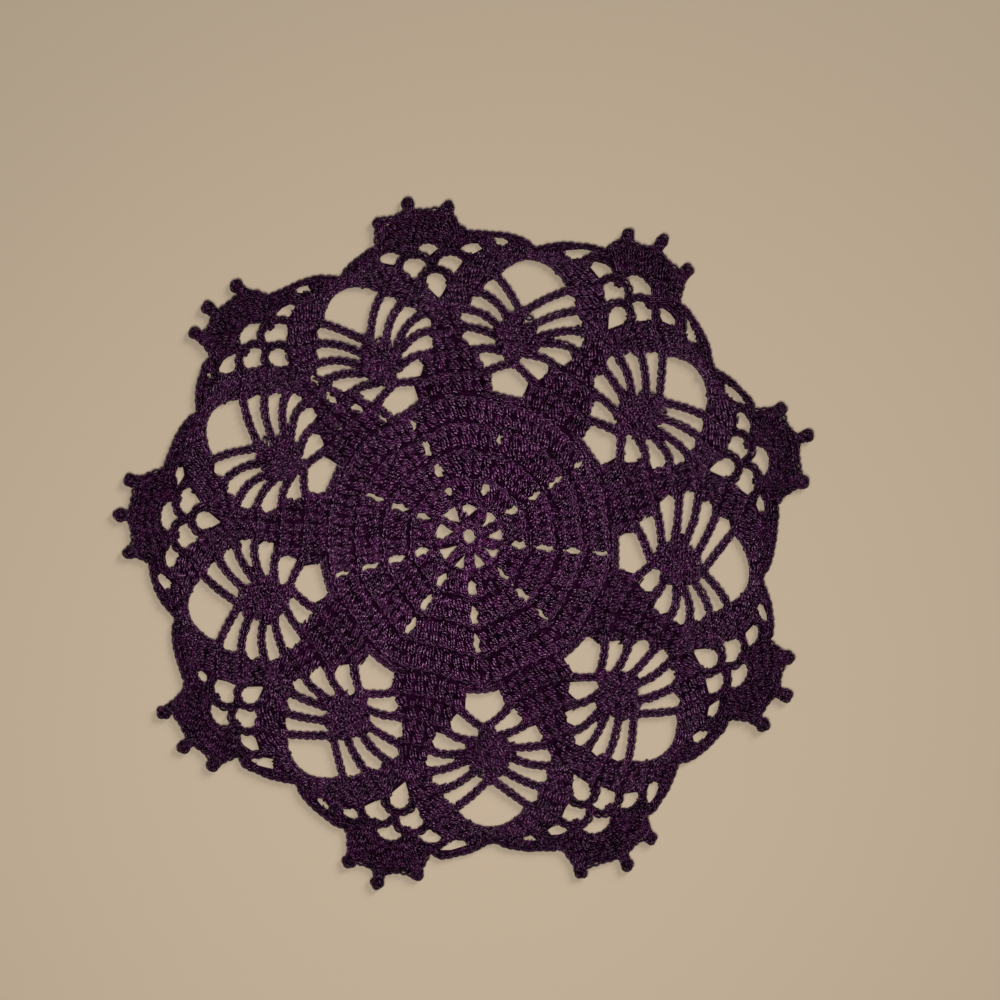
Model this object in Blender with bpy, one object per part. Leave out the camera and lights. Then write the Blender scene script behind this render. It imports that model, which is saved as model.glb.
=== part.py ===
"""Round lace doily, crocheted in one piece and lying flat on a table.

Nine repeats: a solid middle, nine ovals crossed by chain bars that meet in a dense cluster,
nine small lattices of chain loops, an edging of chain, and nine shells with three picots each.
Lengths in millimetres and bearings in degrees (anticlockwise seen from above) until the end,
where the mesh is made in metres. Underside flat on z = 0.
"""
from math import atan2, cos, degrees, exp, hypot, pi, radians, sin

import bpy
from mathutils import Vector
from mathutils.geometry import delaunay_2d_cdt

MM = 0.001
REPEATS = 9
STEP = 360.0 / REPEATS

# ---- heights of the lying crochet
ROUND_HIGH = 1.8          # solid rounds of tall stitches
GROOVE_HIGH = 1.45        # where one round is worked into the one before
CHAIN_HIGH = 1.5          # chain bars and loops
CLUSTER_HIGH = 2.5        # dense cluster in the middle of each oval
PICOT_HIGH = 2.0
PICOTS_FROM = 91.0        # radius from which the upper face is that high
CLUSTER_HALF = (8.5, 6.0)             # half length and half width of a cluster's dome
BARS_HALF = (15.5, 13.0)              # the same for the oval field of bars round it
DOME_RISE = 0.45          # share of a cluster's height that its edge spaces reach

# ---- outer radius of each solid round, and how many relief points go round it
ROUNDS = [(8.3, 18), (15.6, 27), (22.7, 36), (29.8, 36), (36.8, 36)]
# ---- rounds that only show on the wedges between the ovals
WEDGE_ROUNDS = [43.2, 49.4, 55.4, 61.0]
WEDGE_TURNS = (-3.2, 0.0, 3.2)        # bearings of their relief points from the wedge's line
RIDGE_AFTER = 3.0                     # from the groove of such a round out to its ridge
CLUSTER_TOPS = [(-3.2, 0.0), (0.0, -1.9), (0.0, 1.9), (3.2, 0.0)]     # (out, side) from its middle
RELIEF_CLEAR = 0.8                    # least distance of a relief point from a space

# ---- the middle
RING_HOLE = 1.6           # radius of the hole in the starting ring
RING_LONGER = 0.22        # how much longer it is one way than across
RING_WAY = 102.0          # bearing of its long way

# ---- one row for each repeat: how its oval and its lattice sit against an even ninefold plan
#  oval: bearing of the oval          near, far: outward shift of its near and far ends
#  lean: turn of far end against near      tilt: outward shift of one flank against the other
#  ccw, cw: swelling of the two flanks     fan, reach, sway: bearing, outward shift, lean of lattice
#  pull, swing: shift of the cluster in the oval, outwards and sideways
UNEVEN_COLUMNS = ("oval", "near", "far", "lean", "tilt", "ccw", "cw", "fan", "reach", "sway",
                  "pull", "swing")
UNEVEN = [
    (35.2, -0.23, -0.78, 0.77, -0.09, -0.47, 0.54, 0.38, -0.23, 0.24, -0.31, 0.32),
    (76.2, -0.78, -0.65, 0.86, -0.09, -0.82, 0.64, 0.48, -3.04, 2.54, -1.61, 0.96),
    (117.6, -2.29, -2.34, 0.48, -0.31, -0.64, 0.06, -0.39, -1.36, 1.01, -3.40, -0.52),
    (156.8, -0.02, 0.00, -1.89, 0.07, -0.58, -0.33, 0.35, -0.61, -0.77, -3.40, 1.01),
    (195.8, 0.58, 1.01, -0.51, 0.07, -0.28, -0.24, 0.49, 0.92, -0.61, -0.31, 1.48),
    (235.4, 1.47, 0.49, -0.71, 0.18, -0.50, 0.17, 0.12, 1.07, -0.74, 0.74, 0.82),
    (275.0, 2.15, 1.46, -0.30, -0.01, 0.20, 0.14, -0.37, 2.93, 0.20, -0.03, 0.28),
    (313.4, 1.53, 1.46, -1.03, -0.09, -0.46, -0.11, -0.15, 0.31, -0.79, 0.10, -0.32),
    (352.8, 0.31, -0.55, -1.17, -0.48, 0.01, -0.72, 1.24, -0.42, -0.92, -0.15, -1.60),
]
UNEVEN_BY = {name: [row[i] for row in UNEVEN] for i, name in enumerate(UNEVEN_COLUMNS)}
NEAR_END, FAR_END = 41.6, 68.9        # radii where the near and far shifts apply in full
CLUSTER_AT = 56.2                     # radius of the middle of a cluster
PULL_OUT, PULL_SIDE = 9.0, 8.0        # how far round a cluster its shift is felt

# ---- the nine triangular spaces round the ring: radius and bearing of the inner corner, of the
#      anticlockwise and of the clockwise outer corner, and radius midway along the outer side
TRIANGLES = [
    (4.9, 37.0, 7.4, 54.6, 8.0, 34.2, 8.0),
    (5.8, 91.5, 7.6, 106.0, 7.4, 77.0, 8.0),
    (5.0, 125.0, 7.8, 144.0, 8.4, 116.5, 9.5),
    (4.2, 168.0, 7.7, 187.5, 7.7, 158.5, 8.5),
    (4.2, 219.5, 8.3, 226.5, 8.5, 206.5, 8.8),
    (5.5, 258.0, 9.1, 262.5, 8.9, 244.5, 9.2),
    (5.3, 287.8, 8.5, 301.0, 9.5, 281.5, 9.3),
    (5.3, 322.5, 8.4, 337.0, 8.8, 317.0, 8.9),
    (5.0, 358.0, 7.8, 373.0, 8.7, 353.5, 8.5),
]

# ---- chain spaces on the line of each oval: turn of the line at its start, then the length,
#      width and slant of the space in the second, third, fourth and fifth round (0: closed up)
LINE_SPACES = [
    (-4.6, 4.6, 1.37, -4, 2.9, 1.03, -9, 4.6, 0.88, 10, 2.2, 0.60, 15),
    (-5.6, 3.5, 1.37, -4, 0.0, 0.00, 0, 2.0, 0.80, 8, 0.0, 0.00, 0),
    (-2.8, 2.9, 0.88, 28, 3.9, 1.46, 12, 3.8, 1.36, 5, 1.9, 0.75, -21),
    (0.0, 4.5, 1.37, 15, 4.9, 1.20, 11, 4.5, 0.80, 8, 0.0, 0.00, 0),
    (1.9, 4.5, 1.57, -4, 4.6, 1.12, 1, 4.2, 0.96, 7, 3.5, 0.55, 5),
    (2.4, 4.5, 1.37, -1, 4.9, 1.29, 0, 4.2, 1.36, 4, 0.0, 0.00, 0),
    (-1.9, 4.4, 1.76, 1, 4.8, 1.55, 5, 4.5, 0.96, 6, 0.0, 0.00, 0),
    (-1.6, 4.9, 0.98, -2, 4.2, 1.55, 12, 3.6, 0.55, 9, 0.0, 0.00, 0),
    (-2.6, 4.5, 1.37, 5, 4.9, 1.20, 4, 4.2, 0.80, 4, 3.7, 0.75, 2),
]
LINE_MIDS = (13.6, 20.1, 26.8, 34.2)      # radius of the middle of those spaces
LINE_UNTURNS = 0.75                       # share of the starting turn that is gone at the last
LINE_BLUNT, SLIM_BLUNT = 0.65, 0.45       # length of a slim space's straight sides, as a share
# ---- short gaps where one wedge is drawn apart: radius, bearing, half length, half width, slant
TORN_SPACES = [(38.4, 126.6, 1.8, 0.4, 111.0), (44.3, 131.3, 1.7, 0.5, 107.0),
               (51.1, 135.0, 1.8, 0.5, 94.0), (57.2, 134.8, 1.2, 0.45, 83.0),
               (44.5, 139.9, 0.9, 0.4, 98.0), (13.8, 128.9, 1.1, 0.4, 123.0)]

# ---- spaces between the chain bars of an oval, in (out, side) from the middle of the doily,
#      side positive anticlockwise: the end at the cluster and its width, the two corners on
#      the rim (nearer one first), and how far the two long sides bow outwards
BAR_SPACES = [
    (48.6, 2.1, 0.9, 44.4, 7.6, 47.7, 9.4, -0.1, 0.6),
    (51.7, 5.5, 0.8, 49.5, 13.5, 53.0, 14.2, -0.2, 0.7),
    (55.8, 7.8, 0.7, 55.2, 15.9, 57.7, 16.2, -0.1, 0.7),
    (58.2, 4.5, 0.8, 60.5, 15.1, 63.1, 12.8, 0.2, 0.6),
    (61.0, 1.6, 1.1, 65.5, 12.1, 68.0, 9.6, 0.1, 0.9),
    (49.2, -2.5, 1.2, 44.9, -7.2, 48.6, -8.5, -0.1, 0.8),
    (52.7, -5.6, 0.5, 49.7, -13.1, 53.2, -13.3, -0.3, 0.9),
    (56.5, -9.3, 0.5, 55.2, -15.6, 57.2, -15.9, -0.3, 1.0),
    (57.7, -4.6, 0.6, 60.6, -14.6, 62.7, -13.1, 0.1, 0.9),
    (59.8, -1.7, 1.3, 65.3, -11.9, 67.3, -9.4, 0.1, 1.0),
]
# ---- corners of the large outer and inner space of an oval, (out, side)
OUTER_SPACE = [(63.0, -0.1), (66.5, 4.3), (69.9, 8.4), (71.6, 6.9), (73.0, 4.9), (74.1, 2.4),
               (74.5, 0.0), (74.1, -2.7), (73.0, -5.3), (71.6, -7.2), (69.9, -8.5), (66.5, -4.4)]
INNER_SPACE = [(46.1, 0.3), (44.8, 3.0), (43.1, 5.1), (40.6, 4.5), (38.4, 3.7), (38.8, 0.0),
               (38.2, -3.8), (40.6, -4.2), (42.9, -4.5), (44.8, -3.2), (46.1, -1.0)]

# ---- spaces of a lattice: radius, bearing from the lattice's own line, length of the pointed
#      inner end, length of the round outer end, half width
LATTICE_SPACES = [
    (69.0, 0.00, 3.5, 2.9, 2.3),
    (73.7, 3.50, 2.9, 2.7, 2.8),
    (74.0, -3.35, 2.8, 2.6, 2.7),
    (78.5, 0.35, 2.0, 2.3, 3.7),
    (77.5, 7.55, 1.5, 1.4, 3.3),
    (77.2, -7.60, 1.0, 0.95, 2.6),
]
# ---- size of each of those spaces in each repeat
LATTICE_SIZES = [
    (0.92, 1.08, 0.97, 1.18, 1.03, 1.04), (1.00, 1.08, 0.92, 0.80, 0.91, 0.97),
    (0.90, 1.02, 1.10, 1.12, 1.12, 1.06), (0.90, 1.06, 1.00, 1.10, 0.93, 0.76),
    (0.86, 1.03, 1.06, 1.05, 1.00, 0.66), (0.97, 1.06, 1.04, 1.00, 0.90, 0.86),
    (0.97, 1.05, 1.07, 1.18, 0.97, 1.00), (0.97, 1.00, 0.92, 0.98, 0.87, 0.84),
    (0.95, 1.05, 1.02, 1.15, 0.94, 0.72),
]
# ---- slim spaces behind the edging chain: repeat, radius, bearing from the lattice's line,
#      half length, half width, slant
EDGE_SPACES = [
    (0, 79.1, -12.7, 2.85, 0.95, -18.0), (0, 79.2, 12.5, 3.3, 1.0, 21.0),
    (1, 78.5, -12.8, 2.0, 0.8, -16.0), (2, 79.6, -13.3, 1.9, 0.6, -14.0),
    (2, 79.6, 12.1, 1.2, 0.5, 28.0), (3, 79.4, 12.5, 2.2, 0.95, 27.0),
    (4, 79.1, 12.6, 2.6, 1.1, 22.0), (5, 78.4, -13.1, 2.1, 0.5, -16.0),
    (5, 79.1, 12.4, 3.0, 0.9, 16.0), (6, 78.2, -13.4, 1.5, 0.5, -13.0),
    (6, 79.5, 12.6, 2.7, 1.2, 24.0), (7, 78.3, -12.9, 1.8, 0.95, -10.0),
    (7, 78.9, 12.6, 2.2, 0.65, 26.0), (8, 78.8, 12.9, 2.9, 0.95, 19.0),
]
# ---- their corners, outwards in half widths and away from the shell in half lengths
EDGE_CORNERS = [(0.30, -1.45), (0.85, -0.30), (0.60, 1.15), (-0.95, 0.75), (-0.60, -0.30)]
# ---- edging chain before and after a shell: bearing from the oval's line, radius
EDGE_BEFORE_SHELL = [(0.0, 78.5), (1.0, 79.0), (2.0, 79.9), (3.2, 80.5), (5.0, 81.1), (7.0, 81.6),
                     (9.0, 81.9), (10.8, 82.3)]
EDGE_AFTER_SHELL = [(30.0, 83.1), (31.5, 82.8), (33.0, 82.1), (35.0, 81.4), (37.0, 80.2),
                    (38.6, 79.1)]
# ---- outward shift of the edging before and after the shell, for each repeat
EDGING_SHIFTS = [(0.8, 0.0), (-0.5, -1.3), (0.9, 0.2), (-0.5, 0.4), (-0.1, 0.7), (0.1, 0.2),
                 (0.5, 1.3), (0.7, -0.3), (-0.2, -0.4)]
# ---- radius of each shell's flanks, at these turns from its first and its last picot
FLANK_TURNS = (-2.8, -2.2, -1.6, 1.6, 2.2)
SHELL_FLANKS = [
    (82.6, 83.1, 84.5, 85.0, 83.5), (82.5, 83.3, 83.7, 81.7, 81.2), (84.1, 85.0, 86.6, 83.3, 83.0),
    (82.0, 83.0, 84.8, 84.4, 83.9), (82.0, 82.8, 83.3, 83.0, 83.0), (82.1, 82.4, 83.4, 82.2, 82.5),
    (82.0, 83.0, 83.2, 82.8, 83.4), (82.5, 82.8, 83.9, 82.4, 83.2), (82.1, 83.0, 83.6, 81.6, 82.2),
]
SHELL_TOP = (88.9, 88.4)              # radius of the shell between its picots
FLANK_BELOW_TIP = 3.0                 # how far a flank stays inside the tip of its picot
PICOT_RADIUS = 1.55
PICOT_NECK = 1.25                     # half width where a picot leaves the shell
PICOT_TIP = (1.4, 1.0)                # its outer corners, outwards and sideways
PICOT_SIDE = 0.1                      # how far out its widest place is
# ---- one row for each shell: bearing from the lattice's line and tip radius of three picots
PICOTS = [
    (-5.1, 91.4, 0.7, 93.5, 6.3, 90.2),
    (-3.9, 89.9, 2.0, 92.2, 7.9, 88.4),
    (-4.2, 92.0, 1.5, 93.0, 6.4, 91.2),
    (-5.2, 91.0, 0.2, 92.8, 6.5, 90.0),
    (-5.5, 92.0, 0.6, 92.8, 6.4, 90.0),
    (-4.8, 90.4, 0.2, 93.5, 6.4, 89.0),
    (-5.9, 90.7, 1.9, 93.2, 7.5, 90.4),
    (-4.9, 91.9, 0.6, 93.3, 6.2, 89.8),
    (-4.9, 90.0, 1.8, 93.6, 7.5, 89.4),
]


def place(radius, bearing):
    """Even ninefold plan -> the doily as it lies: returns radius and bearing (degrees)."""
    half = STEP / 2
    oval = int(round((bearing % 360.0) / STEP)) % REPEATS
    off = radians(bearing - STEP * oval)
    out, side = radius * cos(off), radius * sin(off)
    felt = exp(-((out - CLUSTER_AT) / PULL_OUT) ** 2 - (side / PULL_SIDE) ** 2)
    out += felt * UNEVEN_BY["pull"][oval]
    side += felt * UNEVEN_BY["swing"][oval]
    radius, bearing = hypot(out, side), STEP * oval + degrees(atan2(side, out))
    turn = bearing % 360.0
    j = int(turn // half) % (2 * REPEATS)
    f = turn / half - turn // half
    k = j // 2
    after = (k + 1) % REPEATS
    u = UNEVEN_BY
    start = u["oval"][k]
    end = u["oval"][after] + (360.0 if after == 0 else 0.0)
    middle = (start + end) / 2 + u["fan"][k]
    if j % 2 == 0:
        own, side, away, angle = k, 1.0, f, start + (middle - start) * f
        swell = u["ccw"][own]
    else:
        own, side, away, angle = after, -1.0, 1.0 - f, middle + (end - middle) * f
        swell = -u["cw"][own]
    weight = cos(pi / 2 * away) ** 2
    along = min(1.4, max(-0.3, (radius - NEAR_END) / (FAR_END - NEAR_END)))
    grow = min(1.0, radius / NEAR_END)
    hump = sin(pi * away)
    out = weight * grow * (u["near"][own] + (u["far"][own] - u["near"][own]) * along)
    out += (1 - weight) * grow * u["reach"][k] * min(1.0, max(0.0, along))
    out += u["tilt"][own] * side * hump
    twist = weight * u["lean"][own] * (along - 0.5) + (1 - weight) * u["sway"][k] * (along - 1)
    twist += swell * hump
    return radius + out, angle + twist * grow


def lay(points, base):
    """(out, side) points about a bearing of the even plan -> (x, y) of the lying doily."""
    laid = []
    for out, side in points:
        radius, bearing = place(hypot(out, side), base + degrees(atan2(side, out)))
        laid.append((radius * cos(radians(bearing)), radius * sin(radians(bearing))))
    return laid


def about(radius, bearing, points, slant=0.0):
    """Points given outwards and sideways from a spot at radius and bearing -> (out, side)."""
    a = radians(bearing)
    s = a + radians(slant)
    return [(radius * cos(a) + o * cos(s) - t * sin(s), radius * sin(a) + o * sin(s) + t * cos(s))
            for o, t in points]


def bar_space(row):
    """Outline of the space between two chain bars: tip, bowed side, rim corners, bowed side."""
    tip_out, tip_side, tip_wide, near_out, near_side, far_out, far_side, near_bow, far_bow = row
    run_out, run_side = (near_out + far_out) / 2 - tip_out, (near_side + far_side) / 2 - tip_side
    run = hypot(run_out, run_side)
    d_out, d_side = run_out / run, run_side / run
    n_out, n_side = abs(d_side), -d_out * (1 if d_side > 0 else -1)
    a = (tip_out - n_out * tip_wide / 2, tip_side - n_side * tip_wide / 2)
    b = (tip_out + n_out * tip_wide / 2, tip_side + n_side * tip_wide / 2)
    wide = hypot(far_out - near_out, far_side - near_side)
    cap = 0.22 * wide + 0.15
    points = [a, ((a[0] + near_out) / 2 + near_bow, (a[1] + near_side) / 2), (near_out, near_side),
              ((near_out + far_out) / 2 + d_out * cap, (near_side + far_side) / 2 + d_side * cap),
              (far_out, far_side), ((b[0] + far_out) / 2 + far_bow, (b[1] + far_side) / 2)]
    return points + [b]


def lattice_space(row, size):
    """Outline of a lattice space: pointed towards the middle, round outwards."""
    radius, bearing = row[:2]
    tip, top, half = (length * size for length in row[2:])
    return about(radius, bearing, [
        (-tip, 0.0), (-0.38 * tip, 0.60 * half), (0.05 * top, half), (0.70 * top, 0.68 * half),
        (top, 0.0), (0.70 * top, -0.68 * half), (0.05 * top, -half), (-0.38 * tip, -0.60 * half)])


def slim_space(radius, bearing, half_long, half_wide, slant=0.0, blunt=SLIM_BLUNT):
    """Six-cornered slim space lying across its bearing, turned by slant."""
    return about(radius, bearing, [
        (0.0, -half_long), (half_wide, -blunt * half_long), (half_wide, blunt * half_long),
        (0.0, half_long), (-half_wide, blunt * half_long), (-half_wide, -blunt * half_long)], slant)


def edge_space(radius, bearing, half_long, half_wide, slant):
    """Three-cornered slim space behind the edging chain, pointed towards the shell."""
    points = [(out * half_wide, side * half_long) for out, side in EDGE_CORNERS]
    if bearing < 0:
        points = [(out, -side) for out, side in reversed(points)]
    return about(radius, bearing, points, slant)


def all_spaces():
    """Every space cut through the doily, as closed loops of (x, y)."""
    ring = []
    for i in range(10):
        radius = RING_HOLE + RING_LONGER * cos(2 * radians(36.0 * i - RING_WAY))
        ring.append((radius * cos(radians(36.0 * i)), radius * sin(radians(36.0 * i))))
    loops = [ring]
    for near, at, far_a, at_a, far_b, at_b, far in TRIANGLES:
        corners = [(near, at), (0.45 * near + 0.55 * far_b, 0.42 * at + 0.58 * at_b), (far_b, at_b),
                   (far, 0.5 * at_a + 0.5 * at_b), (far_a, at_a),
                   (0.45 * near + 0.55 * far_a, 0.42 * at + 0.58 * at_a)]
        loops.append([(r * cos(radians(b)), r * sin(radians(b))) for r, b in corners])
    loops.extend(slim_space(*row) for row in TORN_SPACES)
    for k in range(REPEATS):
        start, sizes = LINE_SPACES[k][0], LINE_SPACES[k][1:]
        for middle, length, wide, lean in zip(LINE_MIDS, sizes[0::3], sizes[1::3], sizes[2::3]):
            if length > 0:
                along = (middle - LINE_MIDS[0]) / (LINE_MIDS[-1] - LINE_MIDS[0])
                turn = start * (1.0 - LINE_UNTURNS * along)
                spot = slim_space(middle, turn, length / 2, wide / 2, 90.0 + lean, LINE_BLUNT)
                loops.append(lay(spot, STEP * k))
        loops.append(lay(INNER_SPACE, STEP * k))
        loops.extend(lay(bar_space(row), STEP * k) for row in BAR_SPACES)
        loops.append(lay(OUTER_SPACE, STEP * k))
        fan = STEP * (k + 0.5)
        for row, size in zip(LATTICE_SPACES, LATTICE_SIZES[k]):
            loops.append(lay(lattice_space(row, size), fan))
        loops.extend(lay(edge_space(*row[1:]), fan) for row in EDGE_SPACES if row[0] == k)
    return loops


def outer_edge():
    """The outline of the doily as one loop of (x, y): chain edging, shells and picots."""
    loop = []
    for k in range(REPEATS):
        row = PICOTS[k]
        polar = [(r + EDGING_SHIFTS[k][0], b) for b, r in EDGE_BEFORE_SHELL]
        flank = list(zip(SHELL_FLANKS[k], FLANK_TURNS))
        below = row[1] - FLANK_BELOW_TIP
        polar += [(min(r, below), STEP / 2 + row[0] + turn) for r, turn in flank[:3]]
        for n in range(3):
            bearing, tip = row[2 * n], row[2 * n + 1]
            out, side = PICOT_TIP
            knob = about(tip - PICOT_RADIUS, bearing, [
                (-PICOT_RADIUS, -PICOT_NECK), (PICOT_SIDE, -PICOT_RADIUS), (out, -side),
                (out, side), (PICOT_SIDE, PICOT_RADIUS), (-PICOT_RADIUS, PICOT_NECK)])
            polar += [(hypot(o, s), STEP / 2 + degrees(atan2(s, o))) for o, s in knob]
            if n < 2:
                polar.append((SHELL_TOP[n], STEP / 2 + (bearing + row[2 * n + 2]) / 2))
        below = row[5] - FLANK_BELOW_TIP
        polar += [(min(r, below), STEP / 2 + row[4] + turn) for r, turn in flank[3:]]
        polar += [(r + EDGING_SHIFTS[k][1], b) for b, r in EDGE_AFTER_SHELL]
        for radius, bearing in polar:
            r, b = place(radius, bearing + STEP * k)
            loop.append((r * cos(radians(b)), r * sin(radians(b))))
    return loop


def top_height(x, y, clusters):
    """Height of the upper face over a point of a loop."""
    for cx, cy, bearing in clusters:
        dx, dy = x - cx, y - cy
        a = radians(bearing)
        out, side = dx * cos(a) + dy * sin(a), -dx * sin(a) + dy * cos(a)
        near = hypot(out / CLUSTER_HALF[0], side / CLUSTER_HALF[1])
        if near < 1.0:
            return CHAIN_HIGH + (CLUSTER_HIGH - CHAIN_HIGH) * DOME_RISE * (1.0 - near)
        if hypot(out / BARS_HALF[0], side / BARS_HALF[1]) < 1.0:
            return CHAIN_HIGH
    return PICOT_HIGH if hypot(x, y) > PICOTS_FROM else ROUND_HIGH


def inside(x, y, loop):
    """Even-odd test of a point against a loop."""
    hit = False
    for (x0, y0), (x1, y1) in zip(loop, loop[1:] + loop[:1]):
        if (y0 > y) != (y1 > y) and x < x0 + (y - y0) * (x1 - x0) / (y1 - y0):
            hit = not hit
    return hit


def clearance(x, y, loop):
    """Distance from a point to a loop."""
    best = 1e9
    for (x0, y0), (x1, y1) in zip(loop, loop[1:] + loop[:1]):
        ex, ey = x1 - x0, y1 - y0
        t = max(0.0, min(1.0, ((x - x0) * ex + (y - y0) * ey) / (ex * ex + ey * ey)))
        best = min(best, hypot(x - x0 - t * ex, y - y0 - t * ey))
    return best


def relief_points(loops, clusters):
    """Points of the upper face away from its edges: round grooves and ridges, cluster tops."""
    spots = []
    for i, (radius, count) in enumerate(ROUNDS):
        after = ROUNDS[i + 1][0] if i + 1 < len(ROUNDS) else radius + 2 * RIDGE_AFTER
        ridge = (radius + after) / 2
        for n in range(count):
            spots.append((radius, 360.0 * n / count, GROOVE_HIGH))
            spots.append((ridge, 360.0 * (n + 0.5) / count, ROUND_HIGH))
    for radius in WEDGE_ROUNDS:
        for k in range(REPEATS):
            for turn in WEDGE_TURNS:
                spots.append((radius, STEP * (k + 0.5) + turn, GROOVE_HIGH))
                spots.append((radius + RIDGE_AFTER, STEP * (k + 0.5) + turn, ROUND_HIGH))
    laid = []
    for radius, bearing, high in spots:
        r, b = place(radius, bearing)
        laid.append((r * cos(radians(b)), r * sin(radians(b)), high))
    for cx, cy, bearing in clusters:
        for out, side in about(0.0, bearing, CLUSTER_TOPS):
            laid.append((cx + out, cy + side, CLUSTER_HIGH))
    return [(x, y, h) for x, y, h in laid
            if all(clearance(x, y, loop) > RELIEF_CLEAR for loop in loops)]


def triangulate(loops, extra):
    """Triangles of the net between the loops; extra points lie inside it."""
    points, edges = [], []
    for loop in loops:
        first = len(points)
        points += [Vector(p) for p in loop]
        edges += [(first + i, first + (i + 1) % len(loop)) for i in range(len(loop))]
    points += [Vector(p) for p in extra]
    out = delaunay_2d_cdt(points, edges, [], 0, 1e-5, True)
    spots, faces, back = out[0], out[2], out[3]
    if len(spots) != len(points):
        raise RuntimeError("loops cross one another")
    order = [ids[0] for ids in back]
    kept = []
    for face in faces:
        x = sum(spots[i][0] for i in face) / 3
        y = sum(spots[i][1] for i in face) / 3
        if inside(x, y, loops[0]) and not any(inside(x, y, loop) for loop in loops[1:]):
            tri = [order[i] for i in face]
            (ax, ay), (bx, by), (cx, cy) = (points[i][:2] for i in tri)
            if (bx - ax) * (cy - ay) - (by - ay) * (cx - ax) < 0:
                tri.reverse()
            kept.append(tri)
    return kept


def build():
    """The doily as one closed solid, its plan centred on the origin."""
    loops = [outer_edge()] + all_spaces()
    xs, ys = [p[0] for p in loops[0]], [p[1] for p in loops[0]]
    shift_x, shift_y = (min(xs) + max(xs)) / 2, (min(ys) + max(ys)) / 2
    clusters = []
    for k in range(REPEATS):
        r, b = place(CLUSTER_AT, STEP * k)
        clusters.append((r * cos(radians(b)), r * sin(radians(b)), b))

    relief = relief_points(loops, clusters)
    flat = [p for loop in loops for p in loop]
    top = triangulate(loops, [(x, y) for x, y, _ in relief])
    under = triangulate(loops, [])

    verts = [(x, y, top_height(x, y, clusters)) for x, y in flat]
    verts += [(x, y, h) for x, y, h in relief]
    below = len(verts)
    verts += [(x, y, 0.0) for x, y in flat]
    faces = [tuple(t) for t in top]
    faces += [(below + c, below + b, below + a) for a, b, c in under]
    first = 0
    for number, loop in enumerate(loops):
        area = sum(a[0] * b[1] - b[0] * a[1] for a, b in zip(loop, loop[1:] + loop[:1]))
        keep = (area > 0) == (number == 0)
        for i in range(len(loop)):
            a, b = first + i, first + (i + 1) % len(loop)
            if not keep:
                a, b = b, a
            faces += [(a, below + a, below + b), (a, below + b, b)]
        first += len(loop)

    mesh = bpy.data.meshes.new("doily")
    mesh.from_pydata([((x - shift_x) * MM, (y - shift_y) * MM, z * MM) for x, y, z in verts], [], faces)
    mesh.update()
    obj = bpy.data.objects.new("doily", mesh)
    bpy.context.scene.collection.objects.link(obj)

    cotton = bpy.data.materials.new("purple cotton")
    cotton.use_nodes = True
    surface = cotton.node_tree.nodes["Principled BSDF"]
    surface.inputs["Base Color"].default_value = (0.045, 0.014, 0.060, 1.0)
    surface.inputs["Roughness"].default_value = 0.8
    mesh.materials.append(cotton)


for old in list(bpy.data.objects):
    bpy.data.objects.remove(old)
build()
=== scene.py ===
"""Looks of the round lace doily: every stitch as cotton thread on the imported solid's plan.

Lengths in millimetres and bearings in degrees (anticlockwise from above) until meshes are made.
Stitches are laid out on an even ninefold plan and moved to where the doily lies by place().
"""
from math import atan2, cos, degrees, hypot, pi, radians, sin

import bpy
import numpy as np
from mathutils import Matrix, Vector
from mathutils.geometry import delaunay_2d_cdt


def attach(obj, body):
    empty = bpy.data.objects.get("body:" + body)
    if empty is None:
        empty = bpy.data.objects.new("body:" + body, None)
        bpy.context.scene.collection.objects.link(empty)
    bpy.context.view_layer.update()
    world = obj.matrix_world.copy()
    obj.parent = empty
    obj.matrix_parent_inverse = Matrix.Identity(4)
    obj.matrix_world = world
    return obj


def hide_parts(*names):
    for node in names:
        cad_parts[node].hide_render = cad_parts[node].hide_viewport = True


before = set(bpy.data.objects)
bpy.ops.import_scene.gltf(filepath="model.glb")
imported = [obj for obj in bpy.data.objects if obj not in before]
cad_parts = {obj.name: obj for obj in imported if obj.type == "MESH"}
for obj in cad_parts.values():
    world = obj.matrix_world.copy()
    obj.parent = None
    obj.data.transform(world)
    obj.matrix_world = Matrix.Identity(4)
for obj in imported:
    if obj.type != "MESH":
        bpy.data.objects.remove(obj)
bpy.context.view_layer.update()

MM = 0.001
REPEATS = 9
STEP = 360.0 / REPEATS
rng = np.random.default_rng(9)

# ---- the plan, as in the solid; (out, side) is along a line from the middle and to its left
#      hole of the starting ring: radius, how much more one way, bearing of that way
RING_HOLE, RING_LONGER, RING_WAY = 1.6, 0.22, 102.0

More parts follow.
